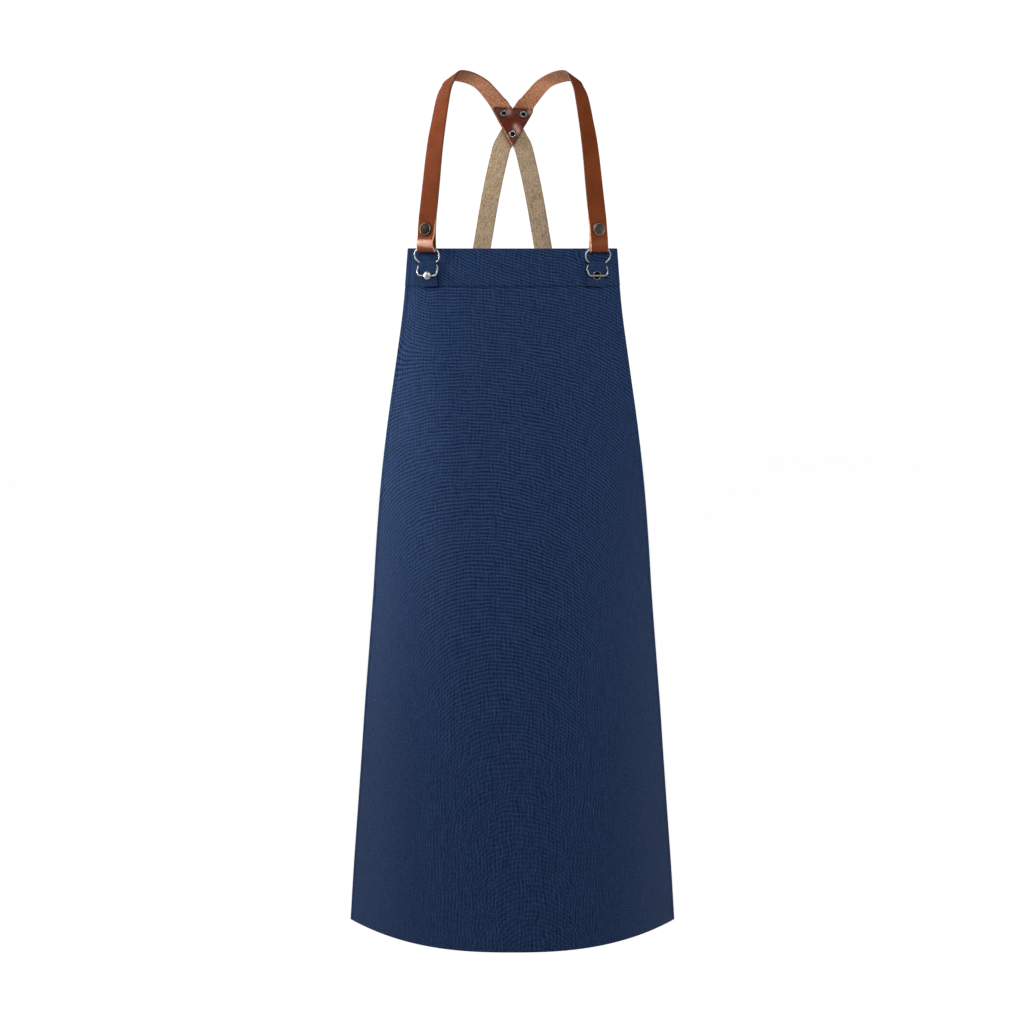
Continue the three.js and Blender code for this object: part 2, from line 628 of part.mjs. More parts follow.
// Leather triangle on the body side of the crossing
function crossingPatch(pegs) {
  const grid = (offset) => PATCH_ROWS.map((row) => {
    const points = [];
    for (let j = 0; j <= PATCH_COLUMNS; j += 1) {
      const x = row.left + ((row.right - row.left) * j) / PATCH_COLUMNS;
      points.push(patchPoint(x, row.z, offset));
    }
    return points;
  });
  const outer = grid(PATCH_OFFSET + PATCH / 2);
  const inner = grid(PATCH_OFFSET - PATCH / 2);
  return drilled(slabGeometry(outer, inner), pegs);
}

// Hollow rivet: ring on the patch, blind bore, plain head behind the webbing
function hollowRivet(rivet) {
  const face = PATCH / 2 - PATCH_OFFSET + GAP;
  const back = -(rivet.back + WEBBING / 2 + LAYER_GAP);
  return turnedGeometry([
    [0, face - 1.6], [RIVET_BORE, face - 1.6], [RIVET_BORE, face + 0.6], [RIVET_BORE + 0.6, face + 0.9],
    [RIVET_FLANGE - 0.8, face + 0.7], [RIVET_FLANGE, face + 0.2], [RIVET_FLANGE, face], [RIVET_SHANK, face],
    [RIVET_SHANK, back], [4.4, back], [4.4, back - 0.5], [3.2, back - 1.0], [0, back - 1.1],
  ]);
}

function buildApron() {
  const apron = new THREE.Group();
  const sides = [
    {
      name: 'left',
      side: -1,
      foldRows: LEFT_FOLD_ROWS,
      snapSeat: LEFT_SNAP,
      strapLayer: 0,
      tapeLayer: WEBBING_LEFT_OFFSET,
      shank: BUTTON_SHANK,
    },
    {
      name: 'right',
      side: 1,
      foldRows: RIGHT_FOLD_ROWS,
      snapSeat: RIGHT_SNAP,
      strapLayer: STRAP_RIGHT_OFFSET,
      tapeLayer: WEBBING_RIGHT_OFFSET,
      shank: EYELET_SHANK,
    },
  ];
  const panelPegs = [];
  const rivetSeats = RIVETS.map((rivet) => ({ ...rivet, ...backSurface(rivet.x, rivet.z, 0) }));
  const rivetPegs = (seats) => seats.map((seat) => pegGeometry(seat.point, seat.normal, RIVET_SHANK + GAP));
  const heldBy = (strapSide) => rivetPegs(rivetSeats.filter((seat) => seat.straps.includes(strapSide)));

  for (const { name, side, foldRows, snapSeat, strapLayer, tapeLayer, shank } of sides) {
    const group = hardwareGroup(side);
    apron.add(group);
    const inward = new THREE.Vector3(0, 1, 0).applyQuaternion(group.quaternion);
    const buttonSeat = new THREE.Vector3(buckleLean(side, LOWER_BAR.height), 0, LOWER_BAR.height);
    panelPegs.push(pegGeometry(group.localToWorld(buttonSeat.clone()), inward, shank + GAP));

    addMesh(group, `tab_${name}`, buckleTab(side, shank), canvas);
    addMesh(group, `buckle_${name}`, wireBuckle(side), brightSteel);
    const button = addMesh(group, `button_${name}`, side < 0 ? domedButton() : eyeletRing(), brightSteel);
    button.position.copy(buttonSeat);

    const snap = addMesh(group, `snap_${name}`, snapCap(snapSeat.spread), darkMetal);
    snap.position.set(-side * STRAP_LEAN * SNAP_HEIGHT, -snapSeat.proud, SNAP_HEIGHT);
    snap.rotation.x = -THREE.MathUtils.degToRad(snapSeat.tilt);
    snap.rotation.z = side * THREE.MathUtils.degToRad(snapSeat.turn);
    snap.updateMatrixWorld(true);
    const snapAxis = new THREE.Vector3(0, 1, 0).transformDirection(snap.matrixWorld);
    const snapPeg = pegGeometry(snap.getWorldPosition(new THREE.Vector3()), snapAxis, SNAP_SHANK + GAP);

    const strapPegs = [snapPeg, ...heldBy(side)];
    addMesh(apron, `strap_${name}`, leatherStrap(side, group, foldRows, strapLayer, strapPegs), leather);
    addMesh(apron, `webbing_${name}`, webbingStrap(side, tapeLayer, heldBy(-side)), wovenTape);
  }

  addMesh(apron, 'apron_panel', apronPanel(panelPegs), canvas);
  addMesh(apron, 'back_patch', crossingPatch(rivetPegs(rivetSeats)), darkLeather);
  for (const seat of rivetSeats) {
    const rivet = addMesh(apron, seat.name, hollowRivet(seat), greyMetal);
    rivet.position.copy(seat.point);
    rivet.quaternion.setFromUnitVectors(new THREE.Vector3(0, 1, 0), seat.normal);
  }
  return apron;
}

export default buildApron();
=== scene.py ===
"""Bib apron of navy canvas with crossed leather straps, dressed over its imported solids."""

import math

import bmesh
import bpy
import numpy as np
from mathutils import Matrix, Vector


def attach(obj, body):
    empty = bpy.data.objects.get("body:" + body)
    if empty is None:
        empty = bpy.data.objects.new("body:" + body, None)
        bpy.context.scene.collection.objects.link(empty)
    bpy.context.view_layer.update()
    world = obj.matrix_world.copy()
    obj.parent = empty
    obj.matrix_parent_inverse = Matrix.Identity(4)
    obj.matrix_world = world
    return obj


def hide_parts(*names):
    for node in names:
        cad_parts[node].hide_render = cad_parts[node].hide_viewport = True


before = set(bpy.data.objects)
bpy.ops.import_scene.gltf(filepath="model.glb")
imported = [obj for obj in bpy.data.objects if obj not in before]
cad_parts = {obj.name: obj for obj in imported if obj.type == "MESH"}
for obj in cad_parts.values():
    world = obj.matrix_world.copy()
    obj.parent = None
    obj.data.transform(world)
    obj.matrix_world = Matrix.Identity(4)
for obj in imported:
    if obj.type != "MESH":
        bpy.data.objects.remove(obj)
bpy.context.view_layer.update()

# Sizes in millimetres, in the frame of the solids: +Z up, the front faces -Y
MM = 0.001
GAP = 0.3
PANEL_TOP_Z = -216
PANEL_FRONT_Y = -110
PANEL_LENGTH = 885
CLOTH = 1.2
HEM_EXTRA = 1.0
TOP_HEM = 48
SIDE_HEM = 10
BOTTOM_HEM = 20
HEM_STEP = 0.8
SECTION_POWER = 2.5
SECTION_SWEEP = math.radians(70)
SECTION_POINTS = 401
STRAP_WIDTH = 24.4
LEATHER = 2.2
WEBBING_WIDTH = 23.4
WEBBING = 1.5
PATCH = 2.0
WIRE_RADIUS = 1.05
HARDWARE_OUT = 105
HARDWARE_FRAME_DOWN = 24

# Rounded edges and mesh steps of the bands and of the edges that are softened
STRAP_EDGE, STRAP_SPACING = 0.75, 2.2
WEBBING_EDGE, WEBBING_SPACING = 0.6, 3
TAB_EDGE, TAB_SPACING = 0.45, 1.5
FACE_STEPS = 6
EDGE_STEPS = 6
PANEL_EDGE, PANEL_EDGE_ANGLE = 0.5, 70
PATCH_EDGE, PATCH_EDGE_ANGLE = 0.45, 50
CORNER_SHARE = 0.45

# Limits for sums along curves, and a direction that no piece turns about
TINY_STEP = 1e-3
NEARLY_ZERO = 1e-6
SHORTEST = 1e-4
SLANTING = (0.3, 0.2, 0.9)

# Panel sections, evenly spaced from the top edge down: half width, side depth, front
PANEL_ROWS = np.array([
    (130.9, 33, 0), (137.4, 45, -1), (147.8, 61, -3), (158.8, 82, -5), (167.9, 102, -6),
    (174.6, 122, -6), (179.9, 140, -5), (186.1, 156, -4), (192.4, 170, -3), (198.0, 183, -2),
    (203.7, 194, -1), (209.5, 204, 0), (214.4, 213, 0),
])

# Strap from the chest to the crossing: out, y, z, heading, lift, share of its layer's offset
STRAP_ROWS = [
    (104.0, -93, -163.4, 26, 5, 0), (101.0, -88, -133.6, 29, 9, 0), (98.2, -81, -103.7, 33, 14, 0),
    (95.1, -73, -77.4, 37, 20, 0), (91.6, -63, -54.7, 44, 27, 0), (88.6, -51, -35.6, 51, 35, 0),
    (85.6, -37, -20.0, 61, 43, 0), (81.5, -20, -9.2, 72, 50, 0), (75.5, 0, 1.8, 88, 55, 0),
    (60.5, 22, 2.2, 132, 64, 0), (43.4, 45, -3.9, 168, 70, 0), (32.6, 68, -12.4, 190, 68, 0.5),
    (22.1, 88.6, -24.0, 187, 59, 1),
]

# Webbing from below the crossing round to the panel's side, in the same columns
WEBBING_ROWS = [
    (20.2, 122.5, -109, 178, 0, 0.8), (29.0, 122.5, -150.6, 175, 0, 0.3), (39.7, 121, -213, 171, 0, 0),
    (52.5, 117, -283, 165, 0, 0), (74.0, 108, -349, 153, 0, 0), (104.0, 88, -405, 136, 0, 0),
    (134.0, 57, -447, 116, 0, 0), (152.0, 20, -476, 90, 3, 0),
]

# Seat of the webbing inside the panel: inset from the side edge, clearance from the cloth
WEBBING_SEAT_DOWN = 277
WEBBING_SEAT_ROWS = [(15, 3.6), (24, 1.3), (33, 0.6), (48, 0.6)]

# Strap end round the buckle: height above the bib, front layer proud of it, spread to the tail, turn
BAR_HEIGHT = -1
BAR_PROUD = 4.05
SNAP_HEIGHT = 24
STRAP_LEAN = 0.06
TAIL_LEAN = 0.03
BUCKLE_LEAN = 0.07
FOLD_STEPS = 6
LEFT_FOLD_ROWS = [
    (0, 6.5, 4.9, 0), (4, 8.8, 7.0, 7), (9, 8.9, 6.7, 10), (14, 7.0, 4.5, 7),
    (20, 6.2, 3.5, 4.5), (28, 5.2, 3.1, 2.5), (36, 3.9, 2.7, 1), (42, 3.0, 2.5, 0),
]
RIGHT_FOLD_ROWS = [
    (0, 6.5, 4.9, 0), (12, 6.2, 3.7, 0), (20, 5.5, 2.6, 0),
    (28, 4.8, 2.5, 0), (36, 3.8, 2.5, 0), (42, 3.0, 2.5, 0),
]

# Seat of each snap on its fold: proud, tilt, turn, spread to the tail
LEFT_SNAP = (5.9, 7.2, 3.8, 3.8)
RIGHT_SNAP = (5.15, 5, 0, 2.5)

# Right half of the wire buckle from its top bar down: x, height, proud
BUCKLE_ROWS = [
    (5.5, -1.0, 4.05), (11.8, -1.0, 4.05), (14.8, -2.6, 4.0), (16.8, -6.0, 3.8), (17.1, -9.4, 3.6),
    (16.3, -12.6, 3.4), (14.2, -15.2, 3.3), (11.9, -16.9, 3.3), (10.4, -18.4, 3.3), (10.8, -19.9, 3.3),
    (12.6, -21.4, 3.3), (13.7, -23.4, 3.7), (14.0, -25.8, 5.1), (13.8, -28.2, 6.7), (13.3, -30.6, 7.5),
    (11.9, -32.6, 7.65), (9.3, -33.4, 7.65), (5.5, -33.4, 7.65),
]
LOWER_BAR_HEIGHT = -33.4
BUCKLE_STEPS = 168
WIRE_SIDES = 14
CROSSBAR = (11.2, -17.2, 3.3)
EYELET_SHANK = 4.9

# Canvas tab: sizes, its back layer as height and width, its front layer as height, proud and width
TAB_END = -47
TAB_SHOULDER = -21.4
TAB_NECK_END = -20.2
TAB_FRONT_SHOULDER = -18.2
TAB_FRONT_NECK = 24.4
TAB_NECK = 21
TAB_WIDTH = 25
TAB_BACK_PROUD = 1.35
TAB_FOLD_RADIUS = WIRE_RADIUS + GAP + CLOTH / 2
TAB_PEG = (9.0, 2.2)
TAB_BACK_ROWS = [
    (TAB_END, TAB_WIDTH), (LOWER_BAR_HEIGHT, TAB_WIDTH), (TAB_SHOULDER, TAB_WIDTH), (TAB_NECK_END, TAB_NECK),
]
TAB_FRONT_ROWS = [
    (TAB_FRONT_SHOULDER, 5.25, TAB_FRONT_NECK), (TAB_SHOULDER, 5.25, TAB_WIDTH), (-24, 4.8, TAB_WIDTH),
    (-28, 4.4, TAB_WIDTH), (-39, 4.2, TAB_WIDTH), (TAB_END, 3.2, TAB_WIDTH),
]

# Crossing at the back: its layers, and lines of out, slope, top, bottom
LAYER_GAP = 0.6
PATCH_OFFSET = -(LEATHER / 2 + LAYER_GAP + PATCH / 2)
WEBBING_RIGHT_OFFSET = LEATHER / 2 + LAYER_GAP + WEBBING / 2
STRAP_RIGHT_OFFSET = WEBBING_RIGHT_OFFSET + WEBBING / 2 + LAYER_GAP + LEATHER / 2
WEBBING_LEFT_OFFSET = STRAP_RIGHT_OFFSET + LEATHER / 2 + LAYER_GAP + WEBBING / 2
CROSSING_Z = -59.5
STRAP_CROSSING = (0, -0.576, -30, -80)
WEBBING_CROSSING = (0.8, 0.54, -34.6, -83)
CROSSING_STEPS = 9
STRAP_END_INSET = 1.5
BACK_TOP_Z = 2
BACK_DEPTH = 122.2
BACK_DROP = 83

# Patch from its top edge down: height, left edge, right edge
PATCH_ROWS = np.array([
    (-33.0, -23.2, 26.0), (-34.4, -24.2, 26.8), (-37.2, -23.6, 26.2), (-44.0, -19.6, 22.6),
    (-52.0, -14.9, 18.0), (-60.0, -10.2, 13.3), (-68.0, -5.8, 8.8), (-74.0, -3.2, 5.7),
    (-77.2, -1.7, 4.1), (-78.9, -0.4, 2.6), (-79.8, 0.5, 1.5),
])
PATCH_SLANT = 0.05
PATCH_SIDE_SLOPE = 0.87
PATCH_TOP_EASE = 0.2
PATCH_EDGE_SINK, PATCH_EDGE_REACH = 0.35, 1.4
# Reach of the dark rim at the patch's edges, and of the painted shade round the rivet flanges
PATCH_RIM_REACH, FLANGE_SHADE_REACH = 1.1, 1.2
PATCH_PEG = (9.0, -2.0)

# Mesh of the patch: heights as first, last and count, and shares of its width from edge to edge
PATCH_MESH_ROWS = [(-33.0, -37.2, 9), (-38.3, -73, 32), (-74, -79.8, 12)]
PATCH_EDGE_SHARES = np.array([0, 0.03])
PATCH_INNER_SHARES = (0.07, 0.93, 31)

# Spots of painted highlight on the patch: x, z, reach across, reach along
PATCH_HIGHLIGHT_SPOTS = [
    (-4.7, -36.8, 3.0, 4.2), (22.6, -36.8, 2.8, 3.4), (7.2, -61.5, 3.4, 5.6), (3.6, -56.0, 2.8, 3.6),
]

# Rivets: sizes, then a row for each with its name, x, z and the offset of the rearmost layer it holds
RIVET_FLANGE = 5.1
RIVET_BORE = 2.5
RIVET_SHANK = 3.1
RIVET_CLEAR = 0.1
RIVET_SUNK = 0.3
RIVET_RISE = 1.2
RIVET_BORE_DEPTH = 1.5
RIVET_BORE_MARGIN = 0.02
RIVET_BORE_RIM = 0.1
RIVET_BACK_CLEAR = 0.15
RIVET_DENT = 0.5
RIVET_DENT_REACH = (6.5, 6.0)
RIVETS = [
    ("upper_left", -11.1, -38.6, WEBBING_RIGHT_OFFSET),
    ("upper_right", 14.2, -39.9, WEBBING_LEFT_OFFSET),
    ("lower", 0.2, -66.6, WEBBING_LEFT_OFFSET),
]

# Turned profiles from the middle of the face to the middle of the back: radius, proud
DOME_RADIUS, DOME_BRIM, DOME_RISE = 5.3, 7.2, 3.2
DOME_BACK_ROWS = [(5.3, 6.4), (4.8, 5.7), (2.2, 5.7), (2.2, -2.5), (4, -2.5), (4, -3.2), (0, -3.2)]
EYELET_BORE = 4.3
EYELET_RIM = 5.6
EYELET_EASE = 0.35
BORE_MARGIN = 0.05
EYELET_ROWS = [
    (0, 2.6), (EYELET_BORE, 2.6), (EYELET_BORE, 6.0), (4.7, 6.35), (5.4, 6.3), (6.0, 5.9), (6.0, 5.5),
    (EYELET_SHANK, 5.5), (EYELET_SHANK, -2.5), (6.0, -2.5), (6.0, -3.2), (0, -3.2),
]
METAL_WEAR = 0.8

# Snaps and rivets in the same columns, with the face or the back of what they hold as zero
SNAP_CLEAR = 0.1
SNAP_EASE = 0.5
SNAP_RIM, SNAP_RIM_WIDTH = 7.4, 0.8
SNAP_BRIM = 0.9
SNAP_FACE_ROWS = [
    (0, 2.0), (5.1, 1.75), (6.0, 1.35), (6.8, 2.0), (7.9, 1.85), (8.7, 1.0), (8.7, 0), (2.0, 0),
]
SNAP_BACK_ROWS = [(2.0, 0), (4.6, 0), (4.6, -0.8), (0, -0.8)]
RIVET_BACK_ROWS = [(RIVET_SHANK, 0), (4.4, 0), (4.4, -0.5), (3.2, -1.0), (0, -1.1)]

# Sewing
TOP_SEAM = 47.2
SIDE_SEAM = 7.2
BOTTOM_SEAM = 17.2
STITCH_PITCH = 3.2
STITCH_LENGTH = 2.5
THREAD = 0.5
THREAD_LIFT = 0.1
STITCH_SIDES = 6
STITCH_RINGS = 5
SEAM_END = 3
LEVEL_SEAM_POINTS = 90
SIDE_SEAM_POINTS = 160
TAB_SEAM_INSET = 2.2
TAB_SEAMS_APART = 3.4
TAB_SEAM_POINTS = 13

# Seams drawn into the cloth and its doubled top band: depths and widths, and the pucker along the seams
BAND_PROUD = 0.5
BAND_EDGE, BAND_EDGE_WIDTH = 0.6, 0.8
SEAM_DEPTH, SEAM_WIDTH = 0.65, 0.9
PUCKER, PUCKER_WIDTH = 0.12, 6

# Waves of the pucker: share, rate along the seam, start
PUCKER_WAVES = [(0.6, 0.71, 0), (0.4, 0.43, 1.3)]

# Mesh of the panel: rows and columns near its edges as distances from them, and even ones between
TOP_GRID = [0, 2, 8, 16, 24, 32, 40, 44, 45.6, 46.5, TOP_SEAM, TOP_HEM, TOP_HEM + HEM_STEP, 50, 51]
BOTTOM_GRID = [0, 2, 6, 12, 16, BOTTOM_SEAM, 18.4, BOTTOM_HEM, BOTTOM_HEM + HEM_STEP, BOTTOM_HEM + 3]
SIDE_GRID = [0, 2, 5, 6.4, SIDE_SEAM, 8, 9.2, SIDE_HEM, SIDE_HEM + HEM_STEP, 13]
INNER_ROWS = 152
INNER_COLUMNS = 112


# Curves and surfaces

def column_at(values, place):
    """Smooth value of an evenly spaced column, with place from 0 to 1."""
    scaled = place * (len(values) - 1)
    i = min(int(scaled), len(values) - 2)
    f = scaled - i
    b, c = values[i], values[i + 1]
    a = values[i - 1] if i > 0 else 2 * b - c
    d = values[i + 2] if i + 2 < len(values) else 2 * c - b
    return b + 0.5 * f * (c - a + f * (2 * a - 5 * b + 4 * c - d + f * (3 * (b - c) + d - a)))


def unit(v):
    return v / np.linalg.norm(v, axis=-1, keepdims=True)


def section_line(down):
    """Arc distance from the middle and points of one level section of the panel."""
    down = min(max(down, 0), PANEL_LENGTH)
    half_width, side_depth, front = [column_at(c, down / PANEL_LENGTH) for c in PANEL_ROWS.T]
    share = np.sin(np.linspace(-1, 1, SECTION_POINTS) * SECTION_SWEEP) / math.sin(SECTION_SWEEP)
    y = PANEL_FRONT_Y + front + side_depth * np.abs(share) ** SECTION_POWER
    points = np.stack([half_width * share, y, np.full_like(y, PANEL_TOP_Z - down)], 1)
    arc = np.concatenate([[0], np.cumsum(np.linalg.norm(np.diff(points, axis=0), axis=1))])
    return arc - arc[-1] / 2, points


def panel_points(across, down):
    arc, points = section_line(down)
    return np.stack([np.interp(across, arc, points[:, k]) for k in range(3)], -1)


def panel_frames(across, down, step=2):
    """Points of the outer face with the axes along the section, up the cloth and inward."""
    across = np.atleast_1d(np.asarray(across, float))
    right = unit(panel_points(across + step, down) - panel_points(across - step, down))
    up = panel_points(across, down - step) - panel_points(across, down + step)
    inward = unit(np.cross(up, right))
    return panel_points(across, down), right, unit(np.cross(right, inward)), inward


def half_arc(down):
    return section_line(down)[0][-1]


def back_surface(x, z):
    turn = math.acos(min(max(1 - (BACK_TOP_Z - z) / BACK_DROP, 0), 1))
    normal = unit(np.array([0, math.sin(turn) / BACK_DEPTH, math.cos(turn) / BACK_DROP]))
    return np.array([x, BACK_DEPTH * math.sin(turn), z]), normal


def patch_surface(x, z):
    """Back surface where the patch's rows slant a little."""
    return back_surface(x, z - PATCH_SLANT * x)


def smooth_path(points, uniform=False):
    """Function of the station number that runs smoothly through the points."""
    points = np.asarray(points, float)
    padded = np.vstack([2 * points[0] - points[1], points, 2 * points[-1] - points[-2]])

    def at(t):
        i = min(int(t), len(points) - 2)
        f = t - i
        p = padded[i:i + 4]
        if uniform:
            m1, m2 = (p[2] - p[0]) / 2, (p[3] - p[1]) / 2
        else:
            d = np.maximum(np.linalg.norm(np.diff(p, axis=0), axis=1) ** 0.5, SHORTEST)
            m1 = ((p[1] - p[0]) / d[0] - (p[2] - p[0]) / (d[0] + d[1]) + (p[2] - p[1]) / d[1]) * d[1]
            m2 = ((p[2] - p[1]) / d[1] - (p[3] - p[1]) / (d[1] + d[2]) + (p[3] - p[2]) / d[2]) * d[1]
        return (p[1] + f * m1 + f * f * (3 * (p[2] - p[1]) - 2 * m1 - m2)
                + f ** 3 * (2 * (p[1] - p[2]) + m1 + m2))

    return at


class Hardware:
    """Where one buckle sits: x to the right, proud of the cloth, height above the top edge."""

    def __init__(self, side):
        arc, points = section_line(HARDWARE_FRAME_DOWN)
        across = side * np.interp(HARDWARE_OUT, points[:, 0], arc)
        origin, right, up, inward = (v[0] for v in panel_frames(across, HARDWARE_FRAME_DOWN))
        self.origin = origin + up * HARDWARE_FRAME_DOWN
        self.right, self.up, self.inward = right, up, inward
        self.side = side

    def point(self, x, height, proud):
        return self.origin + self.right * x - self.inward * proud + self.up * height

    def swung(self, x, height, proud):
        """Point on the buckle, which has swung a little towards the middle."""
        return self.point(x + self.side * BUCKLE_LEAN * (height - BAR_HEIGHT), height, proud)

    def direction(self, inward, up, right=0.0):
        return self.right * right + self.inward * inward + self.up * up


# Meshes

def new_piece(name, mesh, materials):
    piece = bpy.data.objects.new(name, mesh)
    bpy.context.scene.collection.objects.link(piece)
    for material in materials:
        mesh.materials.append(material)
    return piece


def new_mesh(name, points, faces, uv=None, slots=None, sharp=50):
    mesh = bpy.data.meshes.new(name)
    mesh.from_pydata((np.asarray(points) * MM).tolist(), [], faces)
    if slots is not None:
        mesh.polygons.foreach_set("material_index", slots)
    if uv is not None:
        corner = np.empty(len(mesh.loops), np.int32)
        mesh.loops.foreach_get("vertex_index", corner)
        layer = mesh.uv_layers.new(name="cloth")
        layer.data.foreach_set("uv", (np.asarray(uv) * MM)[corner].astype(np.float32).ravel())
    work = bmesh.new()
    work.from_mesh(mesh)
    bmesh.ops.recalc_face_normals(work, faces=work.faces)
    work.to_mesh(mesh)
    work.free()
    mesh.shade_smooth()
    mesh.set_sharp_from_angle(angle=math.radians(sharp))
    mesh.validate()
    return mesh


def slab_faces(rows, columns):
    """Faces of a closed wall between a front and a back grid."""
    def f(i, j):
        return i * columns + j

    def b(i, j):
        return rows * columns + i * columns + j

    faces = []
    for i in range(rows - 1):
        for j in range(columns - 1):
            faces.append((f(i, j), f(i, j + 1), f(i + 1, j + 1), f(i + 1, j)))
            faces.append((b(i, j), b(i + 1, j), b(i + 1, j + 1), b(i, j + 1)))
        faces.append((f(i, 0), f(i + 1, 0), b(i + 1, 0), b(i, 0)))
        last = columns - 1
        faces.append((f(i, last), b(i, last), b(i + 1, last), f(i + 1, last)))
    for j in range(columns - 1):
        faces.append((f(0, j), b(0, j), b(0, j + 1), f(0, j + 1)))
        last = rows - 1
        faces.append((f(last, j), f(last, j + 1), b(last, j + 1), b(last, j)))
    return faces


def soften_edges(piece, width, angle):
    bevel = piece.modifiers.new("soft edges", "BEVEL")
    bevel.width = width * MM
    bevel.segments = 3
    bevel.limit_method = "ANGLE"
    bevel.angle_limit = math.radians(angle)


def edge_profile(width, thickness, radius):
    """Rounded section of a band as points of across and depth, with the finish of each side."""
    a, n = width / 2 - radius, thickness / 2 - radius
    points, finish = [], []
    for k in range(FACE_STEPS):
        points.append((-a + 2 * a * k / FACE_STEPS, thickness / 2))
        finish.append(0)
    for first, last in ((90, -90), (270, 90)):
        side = 1 if first == 90 else -1
        for k in range(EDGE_STEPS + 1):
            turn = math.radians(first + (last - first) * k / EDGE_STEPS)
            lean = 0 if abs(math.sin(turn)) < NEARLY_ZERO else math.copysign(n, math.sin(turn))
            points.append((side * a + radius * math.cos(turn), lean + radius * math.sin(turn)))
            finish.append(1)
        if side == 1:
            finish[-1] = 2
            for k in range(1, FACE_STEPS):
                points.append((a - 2 * a * k / FACE_STEPS, -thickness / 2))
                finish.append(2)
        else:
            points.pop()
            finish.pop()
    return points, finish


def band_mesh(name, stations, thickness, radius, spacing, cut=None):
    """Band that follows stations of point, facing and width. Finishes: outer face, edges, inner face."""
    path = smooth_path([s[0] for s in stations])
    facing = smooth_path([s[1] for s in stations], uniform=True)
    widths = [s[2] for s in stations]
    last = len(stations) - 1
    times = [0.0]
    for i in range(last):
        length = np.linalg.norm(np.subtract(stations[i + 1][0], stations[i][0]))
        steps = max(2, math.ceil(length / spacing))
        times += [i + (k + 1) / steps for k in range(steps)]
    points, uv, along, before = [], [], 0.0, None
    for t in times:
        centre = path(t)
        tangent = unit(path(min(t + TINY_STEP, last)) - path(max(t - TINY_STEP, 0)))
        normal = facing(t)
        normal = unit(normal - tangent * normal.dot(tangent))
        across = np.cross(tangent, normal)
        along += 0 if before is None else np.linalg.norm(centre - before)
        before = centre
        section, finish = edge_profile(np.interp(t, range(last + 1), widths), thickness, radius)
        for a, n in section:
            points.append(centre + across * a + normal * n)
            uv.append((along, a))
    size = len(finish)
    faces, slots = [], []
    for r in range(len(times) - 1):
        for j in range(size):
            k = (j + 1) % size
            faces.append((r * size + j, r * size + k, (r + 1) * size + k, (r + 1) * size + j))
            slots.append(finish[j])
    faces += [tuple(range(size)), tuple(range((len(times) - 1) * size, len(times) * size))]
    slots += [1, 1]
    mesh = new_mesh(name, points, faces, uv, slots, sharp=60)
    if cut:
        cut_end(mesh, *cut)
    return mesh


def cut_end(mesh, point, kept):
    """Cuts a band square to the cloth along a line and closes it."""
    work = bmesh.new()
    work.from_mesh(mesh)
    everything = work.verts[:] + work.edges[:] + work.faces[:]
    made = bmesh.ops.bisect_plane(
        work, geom=everything, plane_co=point * MM, plane_no=-kept, clear_outer=True)
    rim = [e for e in made["geom_cut"] if isinstance(e, bmesh.types.BMEdge)]
    filled = bmesh.ops.edgeloop_fill(work, edges=rim, mat_nr=1)
    bmesh.ops.recalc_face_normals(work, faces=work.faces)
    for face in filled["faces"]:
        face.smooth = False
    work.to_mesh(mesh)
    work.free()


def drill(piece, pegs):
    """Cuts pegs out of a piece, keeps the plain mesh and removes the pegs."""
    for peg in pegs:
        hole = piece.modifiers.new(peg.name, "BOOLEAN")
        hole.operation = "DIFFERENCE"
        hole.solver = "EXACT"
        hole.object = peg
    cut = piece.evaluated_get(bpy.context.evaluated_depsgraph_get())
    made = bpy.data.meshes.new_from_object(cut)
    piece.modifiers.clear()
    piece.data = made
    for peg in pegs:
        bpy.data.objects.remove(peg)


def eased(rows, radius, steps=4):
    """Profile with its corners rounded."""
    rows = np.asarray(rows, float)
    out = [rows[0]]
    for a, b, c in zip(rows, rows[1:], rows[2:]):
        reach_a, reach_c = [min(radius, np.linalg.norm(end - b) * CORNER_SHARE) for end in (a, c)]
        p, q = b + unit(a - b) * reach_a, b + unit(c - b) * reach_c
        for k in range(steps + 1):
            f = k / steps
            out.append((1 - f) ** 2 * p + 2 * f * (1 - f) * b + f * f * q)
    return np.array(out + [rows[-1]])


def turned_mesh(name, profile, centre, outward, around=56, wear=None, slots=None):
    """Turned piece from a profile of radius and proud that starts and ends on its axis."""
    outward = unit(np.asarray(outward, float))
    first = unit(np.cross(outward, SLANTING))
    second = np.cross(outward, first)
    turns = np.linspace(0, 2 * math.pi, around, endpoint=False)
    ring = np.cos(turns)[:, None] * first + np.sin(turns)[:, None] * second
    points, wear_and_painted_highlight, faces, finish = [centre + outward * profile[0][1]], [0.0], [], []
    for radius, proud in profile[1:-1]:
        points.extend(centre + outward * proud + radius * ring)
        wear_and_painted_highlight += [wear(radius, proud) if wear else 0.0] * around
    points.append(centre + outward * profile[-1][1])
    wear_and_painted_highlight.append(0.0)
    count = len(profile) - 2
    for s in range(around):
        n = (s + 1) % around
        faces.append((0, 1 + s, 1 + n))
        finish.append(slots(profile[1][0], profile[1][1]) if slots else 0)
        for k in range(count - 1):
            base = 1 + k * around
            faces.append((base + s, base + around + s, base + around + n, base + n))
            middle = (profile[k + 1] + profile[k + 2]) / 2
            finish.append(slots(*middle) if slots else 0)
        base = 1 + (count - 1) * around
        faces.append((base + s, len(points) - 1, base + n))
        finish.append(0)
    mesh = new_mesh(name, points, faces, None, finish, sharp=40)
    mesh.attributes.new("wear", "FLOAT", "POINT").data.foreach_set("value", wear_and_painted_highlight)
    return mesh


# Geometry Nodes: sewn thread along seam lines, and round wire along its centre line

def node_tree(name, sockets):
    tree = bpy.data.node_groups.new(name, "GeometryNodeTree")
    tree.interface.new_socket("Geometry", in_out="INPUT", socket_type="NodeSocketGeometry")
    for label, kind in sockets:
        tree.interface.new_socket(label, in_out="INPUT", socket_type=kind)
    tree.interface.new_socket("Geometry", in_out="OUTPUT", socket_type="NodeSocketGeometry")
    return tree, tree.nodes.new("NodeGroupInput"), tree.nodes.new("NodeGroupOutput")


